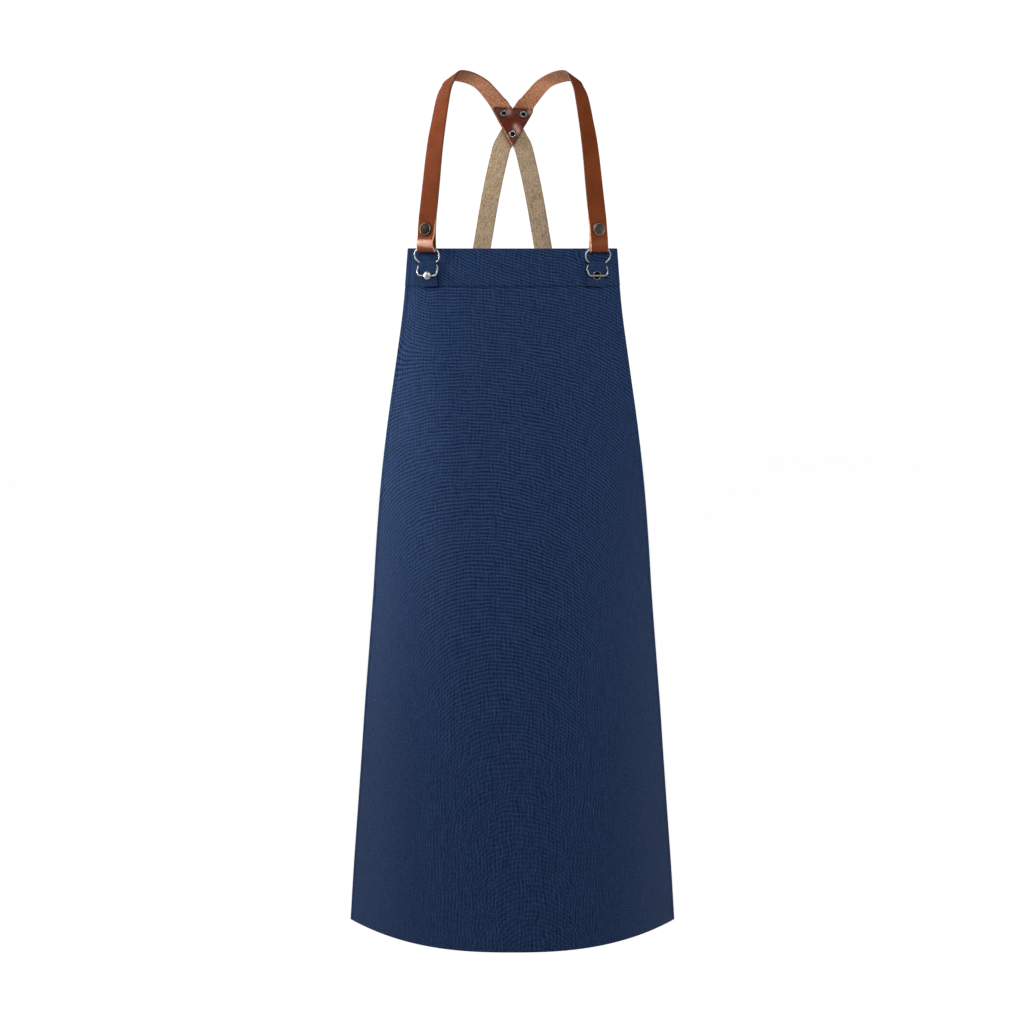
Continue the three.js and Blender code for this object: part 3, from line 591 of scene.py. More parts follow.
def chain(tree, source, steps):
    """Adds nodes one after another on the geometry link and returns the last output."""
    for kind, values in steps:
        step = tree.nodes.new(kind)
        for label, value in values.items():
            if isinstance(value, bpy.types.NodeSocket):
                tree.links.new(value, step.inputs[label])
            elif label in step.inputs:
                step.inputs[label].default_value = value
            else:
                setattr(step, label, value)
        tree.links.new(source, step.inputs[0])
        source = step.outputs[0]
    return source


def thread_tree():
    sizes = [("Pitch", "NodeSocketFloat"), ("Stitch length", "NodeSocketFloat"),
             ("Thread width", "NodeSocketFloat"), ("Finish", "NodeSocketMaterial")]
    tree, given, result = node_tree("sewn thread", sizes)
    line = chain(tree, given.outputs["Geometry"], [("GeometryNodeMeshToCurve", {})])
    spots = tree.nodes.new("GeometryNodeCurveToPoints")
    spots.mode = "LENGTH"
    tree.links.new(line, spots.inputs["Curve"])
    tree.links.new(given.outputs["Pitch"], spots.inputs["Length"])
    stitch = tree.nodes.new("GeometryNodeMeshUVSphere")
    unit_ball = {"Segments": STITCH_SIDES, "Rings": STITCH_RINGS, "Radius": 1 / 2}
    for label, value in unit_ball.items():
        stitch.inputs[label].default_value = value
    scale = tree.nodes.new("ShaderNodeCombineXYZ")
    for label, axis in (("Thread width", "X"), ("Thread width", "Y"), ("Stitch length", "Z")):
        tree.links.new(given.outputs[label], scale.inputs[axis])
    sewn = tree.nodes.new("GeometryNodeInstanceOnPoints")
    tree.links.new(spots.outputs["Points"], sewn.inputs["Points"])
    tree.links.new(stitch.outputs["Mesh"], sewn.inputs["Instance"])
    tree.links.new(spots.outputs["Rotation"], sewn.inputs["Rotation"])
    tree.links.new(scale.outputs["Vector"], sewn.inputs["Scale"])
    last = chain(tree, sewn.outputs["Instances"], [
        ("GeometryNodeRealizeInstances", {}),
        ("GeometryNodeSetShadeSmooth", {}),
        ("GeometryNodeSetMaterial", {"Material": given.outputs["Finish"]}),
    ])
    tree.links.new(last, result.inputs[0])
    return tree


def wire_tree():
    sizes = [("Radius", "NodeSocketFloat"), ("Finish", "NodeSocketMaterial")]
    tree, given, result = node_tree("bent wire", sizes)
    line = chain(tree, given.outputs["Geometry"], [("GeometryNodeMeshToCurve", {})])
    round_section = tree.nodes.new("GeometryNodeCurvePrimitiveCircle")
    round_section.inputs["Resolution"].default_value = WIRE_SIDES
    tree.links.new(given.outputs["Radius"], round_section.inputs["Radius"])
    last = chain(tree, line, [
        ("GeometryNodeCurveToMesh", {"Profile Curve": round_section.outputs["Curve"], "Fill Caps": True}),
        ("GeometryNodeRealizeInstances", {}),
        ("GeometryNodeSetShadeSmooth", {}),
        ("GeometryNodeSetMaterial", {"Material": given.outputs["Finish"]}),
    ])
    tree.links.new(last, result.inputs[0])
    return tree


def line_piece(name, lines, tree, values):
    """Runs a node tree on lines, given as points and whether they close, and keeps the plain mesh."""
    points, edges = [], []
    for line, closed in lines:
        start = len(points)
        points.extend(line)
        edges += [(start + k, start + k + 1) for k in range(len(line) - 1)]
        if closed:
            edges.append((len(points) - 1, start))
    mesh = bpy.data.meshes.new(name)
    mesh.from_pydata((np.asarray(points) * MM).tolist(), edges, [])
    piece = new_piece(name, mesh, [])
    modifier = piece.modifiers.new("shape", "NODES")
    modifier.node_group = tree
    for item in tree.interface.items_tree:
        if item.in_out == "INPUT" and item.name in values:
            modifier[item.identifier] = values[item.name]
    shaped = piece.evaluated_get(bpy.context.evaluated_depsgraph_get())
    made = bpy.data.meshes.new_from_object(shaped)
    piece.modifiers.clear()
    piece.data = made
    return piece


# Finishes: colours, dark before light where a finish has two tones

CANVAS_TONES = [(0.0035, 0.0105, 0.0340), (0.0235, 0.0495, 0.1240)]
CANVAS_SHEEN = (0.30, 0.45, 0.90, 1)
GRAIN_TONES = [(0.098, 0.0210, 0.0064), (0.180, 0.0440, 0.0135)]
GRAIN_RIM = (0.085, 0.021, 0.009)
# Paler tone over the left fold: a painted highlight
PAINTED_FOLD_HIGHLIGHT = (0.600, 0.295, 0.195)
FLESH_TONES = [(0.310, 0.104, 0.051), (0.810, 0.374, 0.206)]
FLESH_YELLOW = (0.580, 0.284, 0.114)
FLESH_RIM = (0.105, 0.045, 0.022)
# Painted shade on the flesh side over the shoulder
FLESH_CROWN_SHADE = (0.135, 0.037, 0.018)
# Near-black painted shade inside the strap's fold
FLESH_FOLD_SHADE = (0.020, 0.008, 0.004)
RAW_EDGE_TONES = [(0.400, 0.172, 0.090), (0.760, 0.420, 0.270)]
EDGE_DYES = [(0.105, 0.030, 0.013), (0.230, 0.090, 0.046)]
PATCH_TONES = [(0.073, 0.0114, 0.0055), (0.164, 0.0318, 0.0164)]
PATCH_RIM_AND_RIVET_SHADE = (0.036, 0.0075, 0.0042)
# Pale pink of painted highlights on the patch
PATCH_HIGHLIGHT_TONE = (0.520, 0.290, 0.240)
WEBBING_TONES = [(0.235, 0.158, 0.090), (0.690, 0.512, 0.328)]
WEBBING_SELVEDGE = (0.150, 0.105, 0.065)
STEEL_TONES = [(0.35, 0.36, 0.37), (0.50, 0.50, 0.50)]
# One metal in two copies: the left darker as painted shade, the right lighter as painted light
ANTIQUE_LIT_AND_SHADED_TONES = {
    "left": [(0.024, 0.017, 0.012), (0.085, 0.070, 0.058)],
    "right": [(0.074, 0.056, 0.044), (0.21, 0.18, 0.155)],
}
RIVET_TONES = [(0.11, 0.11, 0.11), (0.30, 0.30, 0.30)]
# Near black of a bore, as painted shade
BORE_SHADE_TONES = [(0.002, 0.002, 0.002), (0.008, 0.007, 0.006)]
THREAD_TONES = [(0.004, 0.011, 0.034), (0.013, 0.030, 0.080)]
PAPER_TONES = [(0.93, 0.93, 0.93), (0.95, 0.95, 0.95)]

# Places along a strap from the end of its tail, in millimetres: where a look begins and where it is full
# The crest is a painted highlight over the fold
HIGHLIGHT_PLACE, HIGHLIGHT_REACH = 58.8, (5.8, 1.2)
POLISH_PLACE, POLISH_REACH = 57.2, (8.5, 3.5)
FOLD_SHADE_SPAN = (102, 92)
CROWN_SHADE_SPAN = (375, 310)
EDGE_DYED = (78, 96)
EDGE_DYE_WORN = (300, 365)
# Cut edge of the tail darkened as painted shade: its fade, and where it ends on each side
TAIL_SHADE_FADE = 4
TAIL_EDGE_SHADE = {"left": 44, "right": 4}

# Gloss of the grain side, matt and added over the fold, and the fold's change of roughness
MATT_GLOSS, FOLD_GLOSS = 0.03, 0.45
FOLD_SMOOTHER = -0.13

# Insets from the edges of a strap or webbing, in millimetres: where its rim begins and where it is full
GRAIN_RIM_INSET = (2.2, 0.4)
FLESH_RIM_INSET = (1.7, 0.6)
SELVEDGE_INSET = (1.6, 0.6)

# Painted shade in lines on the canvas, under the top hem and across a tab's fold: reach and a tab's place
# along it in millimetres, and their share of dark tone
HEM_SEAM_SHADE_REACH = (1.3, 0.3)
TAB_FOLD_SHADE_REACH = (2.0, 0.8)
TAB_FOLD_SHADE_PLACE = 33.4
LINE_SHADE_SHARE = 0.7

# Rows and columns of the weave over metres of cloth, with rows that bow about a crest that shifts sideways
ROW_TURNS = (0.0, 265, -65)
ROW_BOW = (190, 300, 1550)
BOW_CREST = (-0.085, 0.13)
ROW_DRIFT = 2.2
CORNER_SLANT = (-0.10, 3080)
CORNER_SPAN = (0.18, 0.05)
HEM_SLANT = (0.05, 508)
COLUMN_TURNS = 205
COLUMN_DRIFT = 1.6

# Where the cloth counts as lower and as its sides, and how strongly rows, columns and specks show there
LOWER_CLOTH = (0.34, 0.72)
SIDE_CLOTH = (0.10, 0.20)
ROW_SHARE = (0.56, -0.38)
COLUMN_SHARE = 0.34
LOWER_COLUMN_SHARE = (0.08, -0.20)
# Plain tone, lowered on the lower cloth as painted shade
PLAIN_TONE_AND_LOWER_SHADE = (0.5, -0.08)
SPECK_SHARE = (0.9, 0.9)

# Streaks: how often they change across and down a metre of cloth, and their roughness
ROW_BREAKS = (75, 290, 0.6)
COLUMN_BREAKS = (260, 42, 0.6)
WARP_SLUBS = (900, 60, 0.5)
WEFT_SLUBS = (60, 900, 0.5)
WEBBING_STREAKS = (120, 900, 0.5)

# Yarns and ribs: pitches and the width of a herringbone stripe, in millimetres
WARP_PITCH = 1.05
WEFT_PITCH = 0.95
RIB_PITCH = 2.6
HERRINGBONE = 5.9
WEBBING_YARN = 1.1

# Webbing: slant of its ribs, a shift in metres that keeps its stripes on one side of zero, its middle tone
RIB_SLANT = 0.9
WEBBING_SHIFT = 0.1
MIDDLE_TONE = 0.5


class Finish:
    """A Principled material with short ways to add nodes."""

    def __init__(self, name, **values):
        self.material = bpy.data.materials.new(name)
        self.material.use_nodes = True
        self.tree = self.material.node_tree
        self.shader = self.tree.nodes["Principled BSDF"]
        for label, value in values.items():
            self.shader.inputs[label.replace("_", " ")].default_value = value

    def add(self, kind, output=0, **inputs):
        """Adds a node; set_ marks its own settings, and i with a number an input by its place."""
        made = self.tree.nodes.new(kind)
        for label, value in inputs.items():
            if label.startswith("set_"):
                setattr(made, label[4:], value)
        for label, value in inputs.items():
            if label.startswith("set_"):
                continue
            key = int(label[1:]) if label[1:].isdigit() else label.replace("_", " ")
            target = made.inputs[key]
            if isinstance(value, bpy.types.NodeSocket):
                self.tree.links.new(value, target)
            else:
                target.default_value = value
        return made.outputs[output]

    def math(self, operation, *values):
        return self.add("ShaderNodeMath", set_operation=operation,
                        **{f"i{k}": v for k, v in enumerate(values)})

    def times(self, first, *others):
        for other in others:
            first = self.math("MULTIPLY", first, other)
        return first

    def plus(self, first, *others):
        for other in others:
            first = self.math("ADD", first, other)
        return first

    def poly(self, x, *terms):
        """Polynomial of x, with its constant term first."""
        value = terms[-1]
        for term in reversed(terms[:-1]):
            value = self.math("MULTIPLY_ADD", x, value, term)
        return value

    def blend(self, first, second, share):
        return self.math("MULTIPLY_ADD", first, share, self.times(second, 1 - share))

    def varied(self, tone, pattern, middle, share):
        """Tone raised by a share of what a pattern has above its middle value."""
        return self.math("MULTIPLY_ADD", self.math("SUBTRACT", pattern, middle), share, tone)

    def uv(self):
        split = self.add("ShaderNodeSeparateXYZ", i0=self.add("ShaderNodeTexCoord", output="UV"))
        return split.node.outputs["X"], split.node.outputs["Y"]

    def place(self):
        return self.add("ShaderNodeTexCoord", output="Object")

    def attribute(self, name):
        return self.add("ShaderNodeAttribute", output="Fac", set_attribute_name=name)

    def noise(self, scale, detail=3, rough=0.5, vector=None):
        where = vector if vector is not None else self.place()
        return self.add("ShaderNodeTexNoise", Vector=where, Scale=scale, Detail=detail, Roughness=rough)

    def flat(self, x, y):
        return self.add("ShaderNodeCombineXYZ", X=x, Y=y)

    def streaks(self, u, v, across, down, rough):
        stretched = self.flat(self.times(u, across), self.times(v, down))
        return self.noise(1, detail=2, rough=rough, vector=stretched)

    def ripple(self, turns):
        return self.math("COSINE", self.times(turns, 2 * math.pi))

    def wave(self, coordinate, pitch):
        return self.ripple(self.math("DIVIDE", coordinate, pitch * MM))

    def band(self, value, low, high):
        """Eases from 0 at low to 1 at high."""
        return self.add("ShaderNodeMapRange", set_interpolation_type="SMOOTHSTEP", Value=value,
                        From_Min=low, From_Max=high, To_Min=0.0, To_Max=1.0)

    def along(self, u, span):
        """Eases from 0 to 1 between two places in millimetres."""
        return self.band(u, span[0] * MM, span[1] * MM)

    def near(self, value, place, reach):
        """Eases from 0 to 1 between two distances from a place, in millimetres."""
        distance = self.math("ABSOLUTE", self.math("SUBTRACT", value, place * MM))
        return self.along(distance, reach)

    def rim(self, v, width, inset):
        """Eases from 0 to 1 between two insets from the edges of a strap, in millimetres."""
        return self.along(self.math("ABSOLUTE", v), [width / 2 - edge for edge in inset])

    def ramp(self, factor, tones, low, high):
        made = self.tree.nodes.new("ShaderNodeValToRGB")
        self.tree.links.new(factor, made.inputs[0])
        for element, position, tone in zip(made.color_ramp.elements, (low, high), tones):
            element.position, element.color = position, (*tone, 1)
        return made.outputs[0]

    def mixed(self, factor, first, second):
        made = self.tree.nodes.new("ShaderNodeMix")
        made.data_type = "RGBA"
        for label, value in (("Factor_Float", factor), ("A_Color", first), ("B_Color", second)):
            target = next(s for s in made.inputs if s.identifier == label)
            if isinstance(value, bpy.types.NodeSocket):
                self.tree.links.new(value, target)
            else:
                target.default_value = (*value, 1)
        return next(s for s in made.outputs if s.identifier == "Result_Color")

    def tinted(self, base, colour, where, share):
        return self.mixed(self.times(where, share), base, colour)

    def feed(self, label, socket):
        self.tree.links.new(socket, self.shader.inputs[label])

    def colour(self, socket):
        self.feed("Base Color", socket)

    def roughness(self, socket, low, high):
        self.feed("Roughness", self.add("ShaderNodeMapRange", Value=socket, To_Min=low, To_Max=high))

    def relief(self, height, depth, strength):
        self.feed("Normal", self.add("ShaderNodeBump", Height=height, Distance=depth * MM, Strength=strength))


def shaded(tones, shade):
    return [tuple(shade * c for c in colour) for colour in tones]


def canvas_pattern(f, u, v, down, lower):
    """Bowed rows and straight columns of the weave, broken up, as a tone about zero."""
    def slanted(start, rate):
        past = f.math("MINIMUM", f.math("SUBTRACT", u, start), 0.0)
        return f.times(past, past, rate)

    drift = f.times(f.math("SUBTRACT", f.noise(22, detail=2, vector=f.flat(u, v)), 0.5), ROW_DRIFT)
    off = f.math("SUBTRACT", u, f.poly(down, *BOW_CREST))
    bow = f.times(f.poly(down, *ROW_BOW), f.times(off, off))
    corner = f.times(slanted(*CORNER_SLANT), f.band(down, *CORNER_SPAN))
    hem = f.times(slanted(*HEM_SLANT), f.math("LESS_THAN", down, TOP_SEAM * MM))
    turns = f.math("SUBTRACT", f.poly(down, *ROW_TURNS), bow)
    rows = f.ripple(f.plus(turns, drift, corner, hem))
    columns = f.ripple(f.math("MULTIPLY_ADD", u, COLUMN_TURNS, f.times(drift, COLUMN_DRIFT)))
    whole_rows = f.band(f.streaks(u, v, *ROW_BREAKS), low=0.2, high=0.72)
    whole_columns = f.band(f.streaks(u, v, *COLUMN_BREAKS), low=0.35, high=0.75)
    at_sides = f.band(f.math("ABSOLUTE", u), *SIDE_CLOTH)
    lower_columns = f.poly(at_sides, *LOWER_COLUMN_SHARE)
    column_share = f.math("MULTIPLY_ADD", lower, lower_columns, COLUMN_SHARE)
    return f.plus(f.times(rows, whole_rows, f.poly(lower, *ROW_SHARE)),
                  f.times(columns, whole_columns, column_share))


def canvas_finish(name, shade=1.0, pattern=1.0, tab=False):
    """Canvas that shows a share of its row pattern, with a line of painted shade under its top hem or across
    a tab's fold.
    """
    f = Finish(name, Roughness=0.9, Specular_IOR_Level=0.05, Sheen_Weight=0.06,
               Sheen_Roughness=0.4, Sheen_Tint=CANVAS_SHEEN)
    u, v = f.uv()
    down = f.times(v, -1.0)
    lower = f.band(down, *LOWER_CLOTH)
    weave = f.times(f.wave(u, WARP_PITCH), f.wave(v, WEFT_PITCH))
    slub = f.plus(f.streaks(u, v, *WARP_SLUBS), f.streaks(u, v, *WEFT_SLUBS))
    speck = f.noise(520, detail=2, rough=0.6, vector=f.flat(u, v))
    rows_and_columns = canvas_pattern(f, u, v, down, lower)
    # Plain tone darker on the lower cloth: painted shade
    tone = f.math("MULTIPLY_ADD", rows_and_columns, pattern, f.poly(lower, *PLAIN_TONE_AND_LOWER_SHADE))
    tone = f.varied(tone, speck, middle=0.5, share=f.poly(lower, *SPECK_SHARE))
    tone = f.varied(tone, weave, middle=0.0, share=0.08)
    tone = f.varied(tone, slub, middle=1.0, share=0.6)
    tones = shaded(CANVAS_TONES, shade)
    # Painted shade: a dark line under the top hem, or at the top of a tab's fold
    if tab:
        line_shade = f.near(u, TAB_FOLD_SHADE_PLACE, TAB_FOLD_SHADE_REACH)
    else:
        line_shade = f.near(v, -TOP_SEAM, HEM_SEAM_SHADE_REACH)
    cloth = f.ramp(tone, tones, low=0.0, high=1.0)
    f.colour(f.tinted(cloth, tones[0], line_shade, LINE_SHADE_SHARE))
    f.relief(f.math("MULTIPLY_ADD", slub, 0.5, weave), depth=0.16, strength=0.7)
    return f.material


def grain_finish(name, gloss_and_highlight):
    """Matt leather, polished over the fold and paler there as a painted highlight, both by the share given as
    its second argument.
    """
    f = Finish(name)
    u, v = f.uv()
    broad = f.noise(28, rough=0.55)
    fine = f.noise(420, detail=4, rough=0.6)
    pores = f.add("ShaderNodeTexVoronoi", Vector=f.place(), Scale=850.0)
    base = f.ramp(f.blend(fine, broad, share=0.35), GRAIN_TONES, low=0.3, high=0.72)
    base = f.tinted(base, GRAIN_RIM, f.rim(v, STRAP_WIDTH, GRAIN_RIM_INSET), share=0.55)
    # Painted highlight: a paler tone over the fold's crest
    f.colour(f.tinted(base, PAINTED_FOLD_HIGHLIGHT, f.near(u, HIGHLIGHT_PLACE, HIGHLIGHT_REACH), share=0.75 * gloss_and_highlight))
    polish = f.near(u, POLISH_PLACE, POLISH_REACH)
    f.feed("Specular IOR Level", f.poly(polish, MATT_GLOSS, FOLD_GLOSS * gloss_and_highlight))
    matt = f.add("ShaderNodeMapRange", Value=fine, To_Min=0.48, To_Max=0.62)
    f.feed("Roughness", f.math("MULTIPLY_ADD", polish, FOLD_SMOOTHER, matt))
    f.relief(f.math("MULTIPLY_ADD", fine, 0.6, pores), depth=0.09, strength=0.55)
    return f.material


def flesh_finish():
    """Napped inner side of the leather, with painted shade over the shoulder and inside the fold."""
    f = Finish("leather flesh side", Roughness=0.95, Specular_IOR_Level=0.1, Sheen_Weight=0.06,
               Sheen_Roughness=0.5)
    u, v = f.uv()
    nap = f.blend(f.noise(950, detail=4, rough=0.7), f.noise(460, rough=0.6), share=0.35)
    base = f.ramp(nap, FLESH_TONES, low=0.42, high=0.58)
    base = f.tinted(base, FLESH_YELLOW, f.band(f.noise(330, detail=2), low=0.40, high=0.62), share=0.4)
    base = f.tinted(base, FLESH_RIM, f.rim(v, STRAP_WIDTH, FLESH_RIM_INSET), share=0.35)
    # Painted shade: darker flesh over the shoulder, where the strap turns away from the light
    base = f.tinted(base, FLESH_CROWN_SHADE, f.along(u, CROWN_SHADE_SPAN), share=0.9)
    # Painted shade: near black inside the fold
    f.colour(f.tinted(base, FLESH_FOLD_SHADE, f.along(u, FOLD_SHADE_SPAN), share=0.85))
    f.relief(nap, depth=0.5, strength=0.8)
    return f.material


def cut_edge_finish(name, shaded_tail_end):
    """Pale raw edge at the strap's fold, dyed dark further up, and dark on the tail before the given place as
    painted shade.
    """
    f = Finish(name, Roughness=0.8, Specular_IOR_Level=0.3)
    u, _ = f.uv()
    fibre = f.noise(900, detail=4, rough=0.6)
    raw = f.ramp(fibre, RAW_EDGE_TONES, low=0.35, high=0.7)
    # Real dye further up the strap, and painted shade on the tail's edge
    dye_and_tail_shade = f.math("MAXIMUM", f.along(u, EDGE_DYED), f.along(u, (shaded_tail_end, shaded_tail_end - TAIL_SHADE_FADE)))
    f.colour(f.mixed(dye_and_tail_shade, raw, f.mixed(f.along(u, EDGE_DYE_WORN), *EDGE_DYES)))
    f.relief(fibre, depth=0.12, strength=0.6)
    return f.material


def patch_finish():
    """Glazed leather, dark along its rims, with painted shade round the rivets and painted highlights in pale
    spots.
    """
    f = Finish("dark red-brown leather", Specular_IOR_Level=0.3, Coat_Weight=0.15, Coat_Roughness=0.2)
    broad = f.noise(70, rough=0.6)
    fine = f.noise(600, detail=4, rough=0.6)
    base = f.ramp(f.blend(fine, broad, share=0.3), PATCH_TONES, low=0.3, high=0.72)
    # Dark rim at the edges, and painted shade in a ring round each rivet
    base = f.tinted(base, PATCH_RIM_AND_RIVET_SHADE, f.attribute("rim"), share=0.8)
    # Painted highlights: pale spots where the glaze catches the light
    f.colour(f.tinted(base, PATCH_HIGHLIGHT_TONE, f.attribute("wear_and_painted_highlight"), f.poly(fine, 0.25, 1.1)))
    f.roughness(fine, low=0.26, high=0.42)
    f.relief(f.math("MULTIPLY_ADD", broad, 2.0, fine), depth=0.12, strength=0.5)
    return f.material


def webbing_finish(name, shade):
    """Twill whose ribs turn back and forth across the tape."""
    f = Finish(name, Roughness=0.9, Specular_IOR_Level=0.25, Sheen_Weight=0.2, Sheen_Roughness=0.5)
    u, v = f.uv()
    folded = f.math("PINGPONG", f.plus(v, WEBBING_SHIFT), HERRINGBONE * MM)
    rib = f.wave(f.math("MULTIPLY_ADD", folded, RIB_SLANT, u), RIB_PITCH)
    yarn = f.wave(v, WEBBING_YARN)
    tone = f.varied(MIDDLE_TONE, rib, middle=0.0, share=0.10)
    tone = f.varied(tone, yarn, middle=0.0, share=0.10)
    tone = f.varied(tone, f.noise(420, detail=4, rough=0.65), middle=0.5, share=1.3)
    tone = f.varied(tone, f.streaks(u, v, *WEBBING_STREAKS), middle=0.5, share=0.8)
    tone = f.varied(tone, f.noise(60), middle=0.5, share=0.35)
    base = f.ramp(tone, shaded(WEBBING_TONES, shade), low=0.15, high=0.85)
    f.colour(f.tinted(base, WEBBING_SELVEDGE, f.rim(v, WEBBING_WIDTH, SELVEDGE_INSET), share=0.45))
    f.relief(f.math("MULTIPLY_ADD", yarn, 0.35, rib), depth=0.20, strength=0.5)
    return f.material


def metal_finish(name, tones, smooth, rough):
    """Metal that is brighter where it is worn."""
    f = Finish(name, Metallic=1.0)
    marks = f.noise(260, detail=4, rough=0.6)
    wear_and_painted_highlight = f.varied(f.attribute("wear"), marks, middle=0.45, share=1.3)
    f.colour(f.mixed(f.band(wear_and_painted_highlight, low=0.0, high=1.0), *tones))
    f.roughness(marks, smooth, rough)
    f.relief(marks, depth=0.02, strength=0.2)
    return f.material


# Painted shade: the dark inside of a bore
def bore_shade_finish():
    f = Finish("bore in painted shade", Roughness=0.9, Specular_IOR_Level=0.1)
    f.colour(f.ramp(f.noise(400), BORE_SHADE_TONES, low=0.3, high=0.7))
    return f.material


def thread_finish():
    f = Finish("navy thread", Roughness=0.8, Specular_IOR_Level=0.1)
    f.colour(f.ramp(f.noise(1500, detail=2), THREAD_TONES, low=0.3, high=0.7))
    return f.material


SIDES = ("left", "right")
# Share of fold gloss and painted highlight: the left fold has both, the right almost none
FOLD_GLOSS_AND_HIGHLIGHT = {"left": 1.0, "right": 0.05}
# Tones of the two webbings, set apart as painted light and shade
WEBBING_LIT_AND_SHADED_TONE = {"left": 0.74, "right": 0.64}
FOLD_SHADE = 0.3
FOLD_PATTERN = 0.25

canvas = canvas_finish("navy canvas")
tab_canvas = canvas_finish("navy canvas of the tabs", pattern=FOLD_PATTERN, tab=True)
# Canvas in painted shade, for the inner faces of the tabs and the slit at the left tab's side
canvas_painted_shade = canvas_finish("navy canvas in painted shade", FOLD_SHADE, FOLD_PATTERN)
tab_edges = {"left": canvas_painted_shade, "right": tab_canvas}
grains = {s: grain_finish(f"brown grain leather {s}", FOLD_GLOSS_AND_HIGHLIGHT[s]) for s in SIDES}
flesh = flesh_finish()
cut_edges = {s: cut_edge_finish(f"cut leather edge {s}", TAIL_EDGE_SHADE[s]) for s in SIDES}
patch_leather = patch_finish()
webbing_weaves = {s: webbing_finish(f"beige twill webbing {s}", WEBBING_LIT_AND_SHADED_TONE[s]) for s in SIDES}
bright_steel = metal_finish("bright plated steel", STEEL_TONES, smooth=0.42, rough=0.50)
antiques = {s: metal_finish(f"antique dark metal {s}", ANTIQUE_LIT_AND_SHADED_TONES[s], smooth=0.40, rough=0.50)
            for s in SIDES}
rivet_grey = metal_finish("grey rivet metal", RIVET_TONES, smooth=0.32, rough=0.44)
bore_shade = bore_shade_finish()
thread = thread_finish()


def stands_for(piece, node):
    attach(piece, "root")
    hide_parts(node)


# Canvas bib and skirt

def hem_relief(across, down):
    """How far the outer face stands proud: the doubled top band, with the top and side seams drawn in."""
    level = np.zeros_like(across)
    to_top_seam = abs(down - TOP_SEAM)
    to_side_seam = np.abs(half_arc(down) - SIDE_SEAM - np.abs(across))
    past_band = (down - TOP_SEAM - BAND_EDGE) / BAND_EDGE_WIDTH
    proud = BAND_PROUD / 2 * (1 - math.tanh(past_band)) + level
    for distance, run in ((to_top_seam, across), (to_side_seam, down + level)):
        ripple = sum(share * np.sin(run * rate + start) for share, rate, start in PUCKER_WAVES)
        proud = proud - SEAM_DEPTH * np.exp(-(distance / SEAM_WIDTH) ** 2)
        proud = proud + PUCKER * np.exp(-(distance / PUCKER_WIDTH) ** 2) * ripple
    return proud


def hem_thickness(across, down):
    if down <= TOP_HEM or down >= PANEL_LENGTH - BOTTOM_HEM:
        folded = np.ones_like(across)
    else:
        inside = half_arc(down) - np.abs(across)
        folded = np.clip((SIDE_HEM - inside) / HEM_STEP + 1, 0, 1)
    return CLOTH + HEM_EXTRA * folded


def outer_cloth(across, down):
    points, _, _, inward = panel_frames(across, down)
    return points - inward * hem_relief(across, down)[:, None]


def inner_cloth(across, down):
    points, _, _, inward = panel_frames(across, down)
    return points + inward * hem_thickness(across, down)[:, None]


def panel_piece():
    inside = np.linspace(TOP_GRID[-1], PANEL_LENGTH - BOTTOM_GRID[-1], INNER_ROWS)[1:-1]
    downs = TOP_GRID + list(inside) + [PANEL_LENGTH - d for d in reversed(BOTTOM_GRID)]
    front, back, uv = [], [], []
    for down in downs:
        half = half_arc(down)
        left = np.array([-half + d for d in SIDE_GRID])
        middle = np.linspace(left[-1], -left[-1], INNER_COLUMNS)[1:-1]
        across = np.concatenate([left, middle, -left[::-1]])
        front.append(outer_cloth(across, down))
        back.append(inner_cloth(across, down))
        uv.append(np.stack([across, np.full_like(across, -down)], 1))
    points, flat = np.concatenate(front + back), np.concatenate(uv + uv)
    mesh = new_mesh("panel_cloth", points, slab_faces(len(downs), len(front[0])), flat)
    piece = new_piece("panel_cloth", mesh, [canvas])
    soften_edges(piece, PANEL_EDGE, PANEL_EDGE_ANGLE)
    stands_for(piece, "apron_panel")
    return piece


def seam_lines():
    """Seam lines on the cloth, as points and whether they close; the bottom hem is sewn blind."""
    level = np.linspace(-1, 1, LEVEL_SEAM_POINTS)
    bottom = PANEL_LENGTH - BOTTOM_SEAM
    top_run, bottom_run = [level * (half_arc(down) - SEAM_END) for down in (TOP_SEAM, bottom)]
    lines = [outer_cloth(top_run, TOP_SEAM), inner_cloth(top_run, TOP_SEAM), inner_cloth(bottom_run, bottom)]
    downs = np.linspace(SEAM_END, PANEL_LENGTH - SEAM_END, SIDE_SEAM_POINTS)
    for side in (-1, 1):
        for cloth in (outer_cloth, inner_cloth):
            lines.append([cloth(np.array([side * (half_arc(d) - SIDE_SEAM)]), d)[0] for d in downs])
    return [(line, False) for line in lines]


# Straps, webbing, patch and fasteners

def row_station(row, side, layer, width):
    out, y, z, heading, lift, stack = row
    heading, lift = math.radians(heading), math.radians(lift)
    level = math.cos(lift)
    facing = np.array([side * math.sin(heading) * level, -math.cos(heading) * level, math.sin(lift)])
    return np.array([side * out, y + layer * stack / level, z]), facing, width


def crossing_stations(line, side, layer, width):
    out, slope, top, bottom = line
    stations = []
    for z in np.linspace(top, bottom, CROSSING_STEPS + 1):
        point, normal = back_surface(side * (out + slope * (CROSSING_Z - z)), z)
        stations.append((point + np.array([0, layer / normal[1], 0]), normal, width))
    return stations


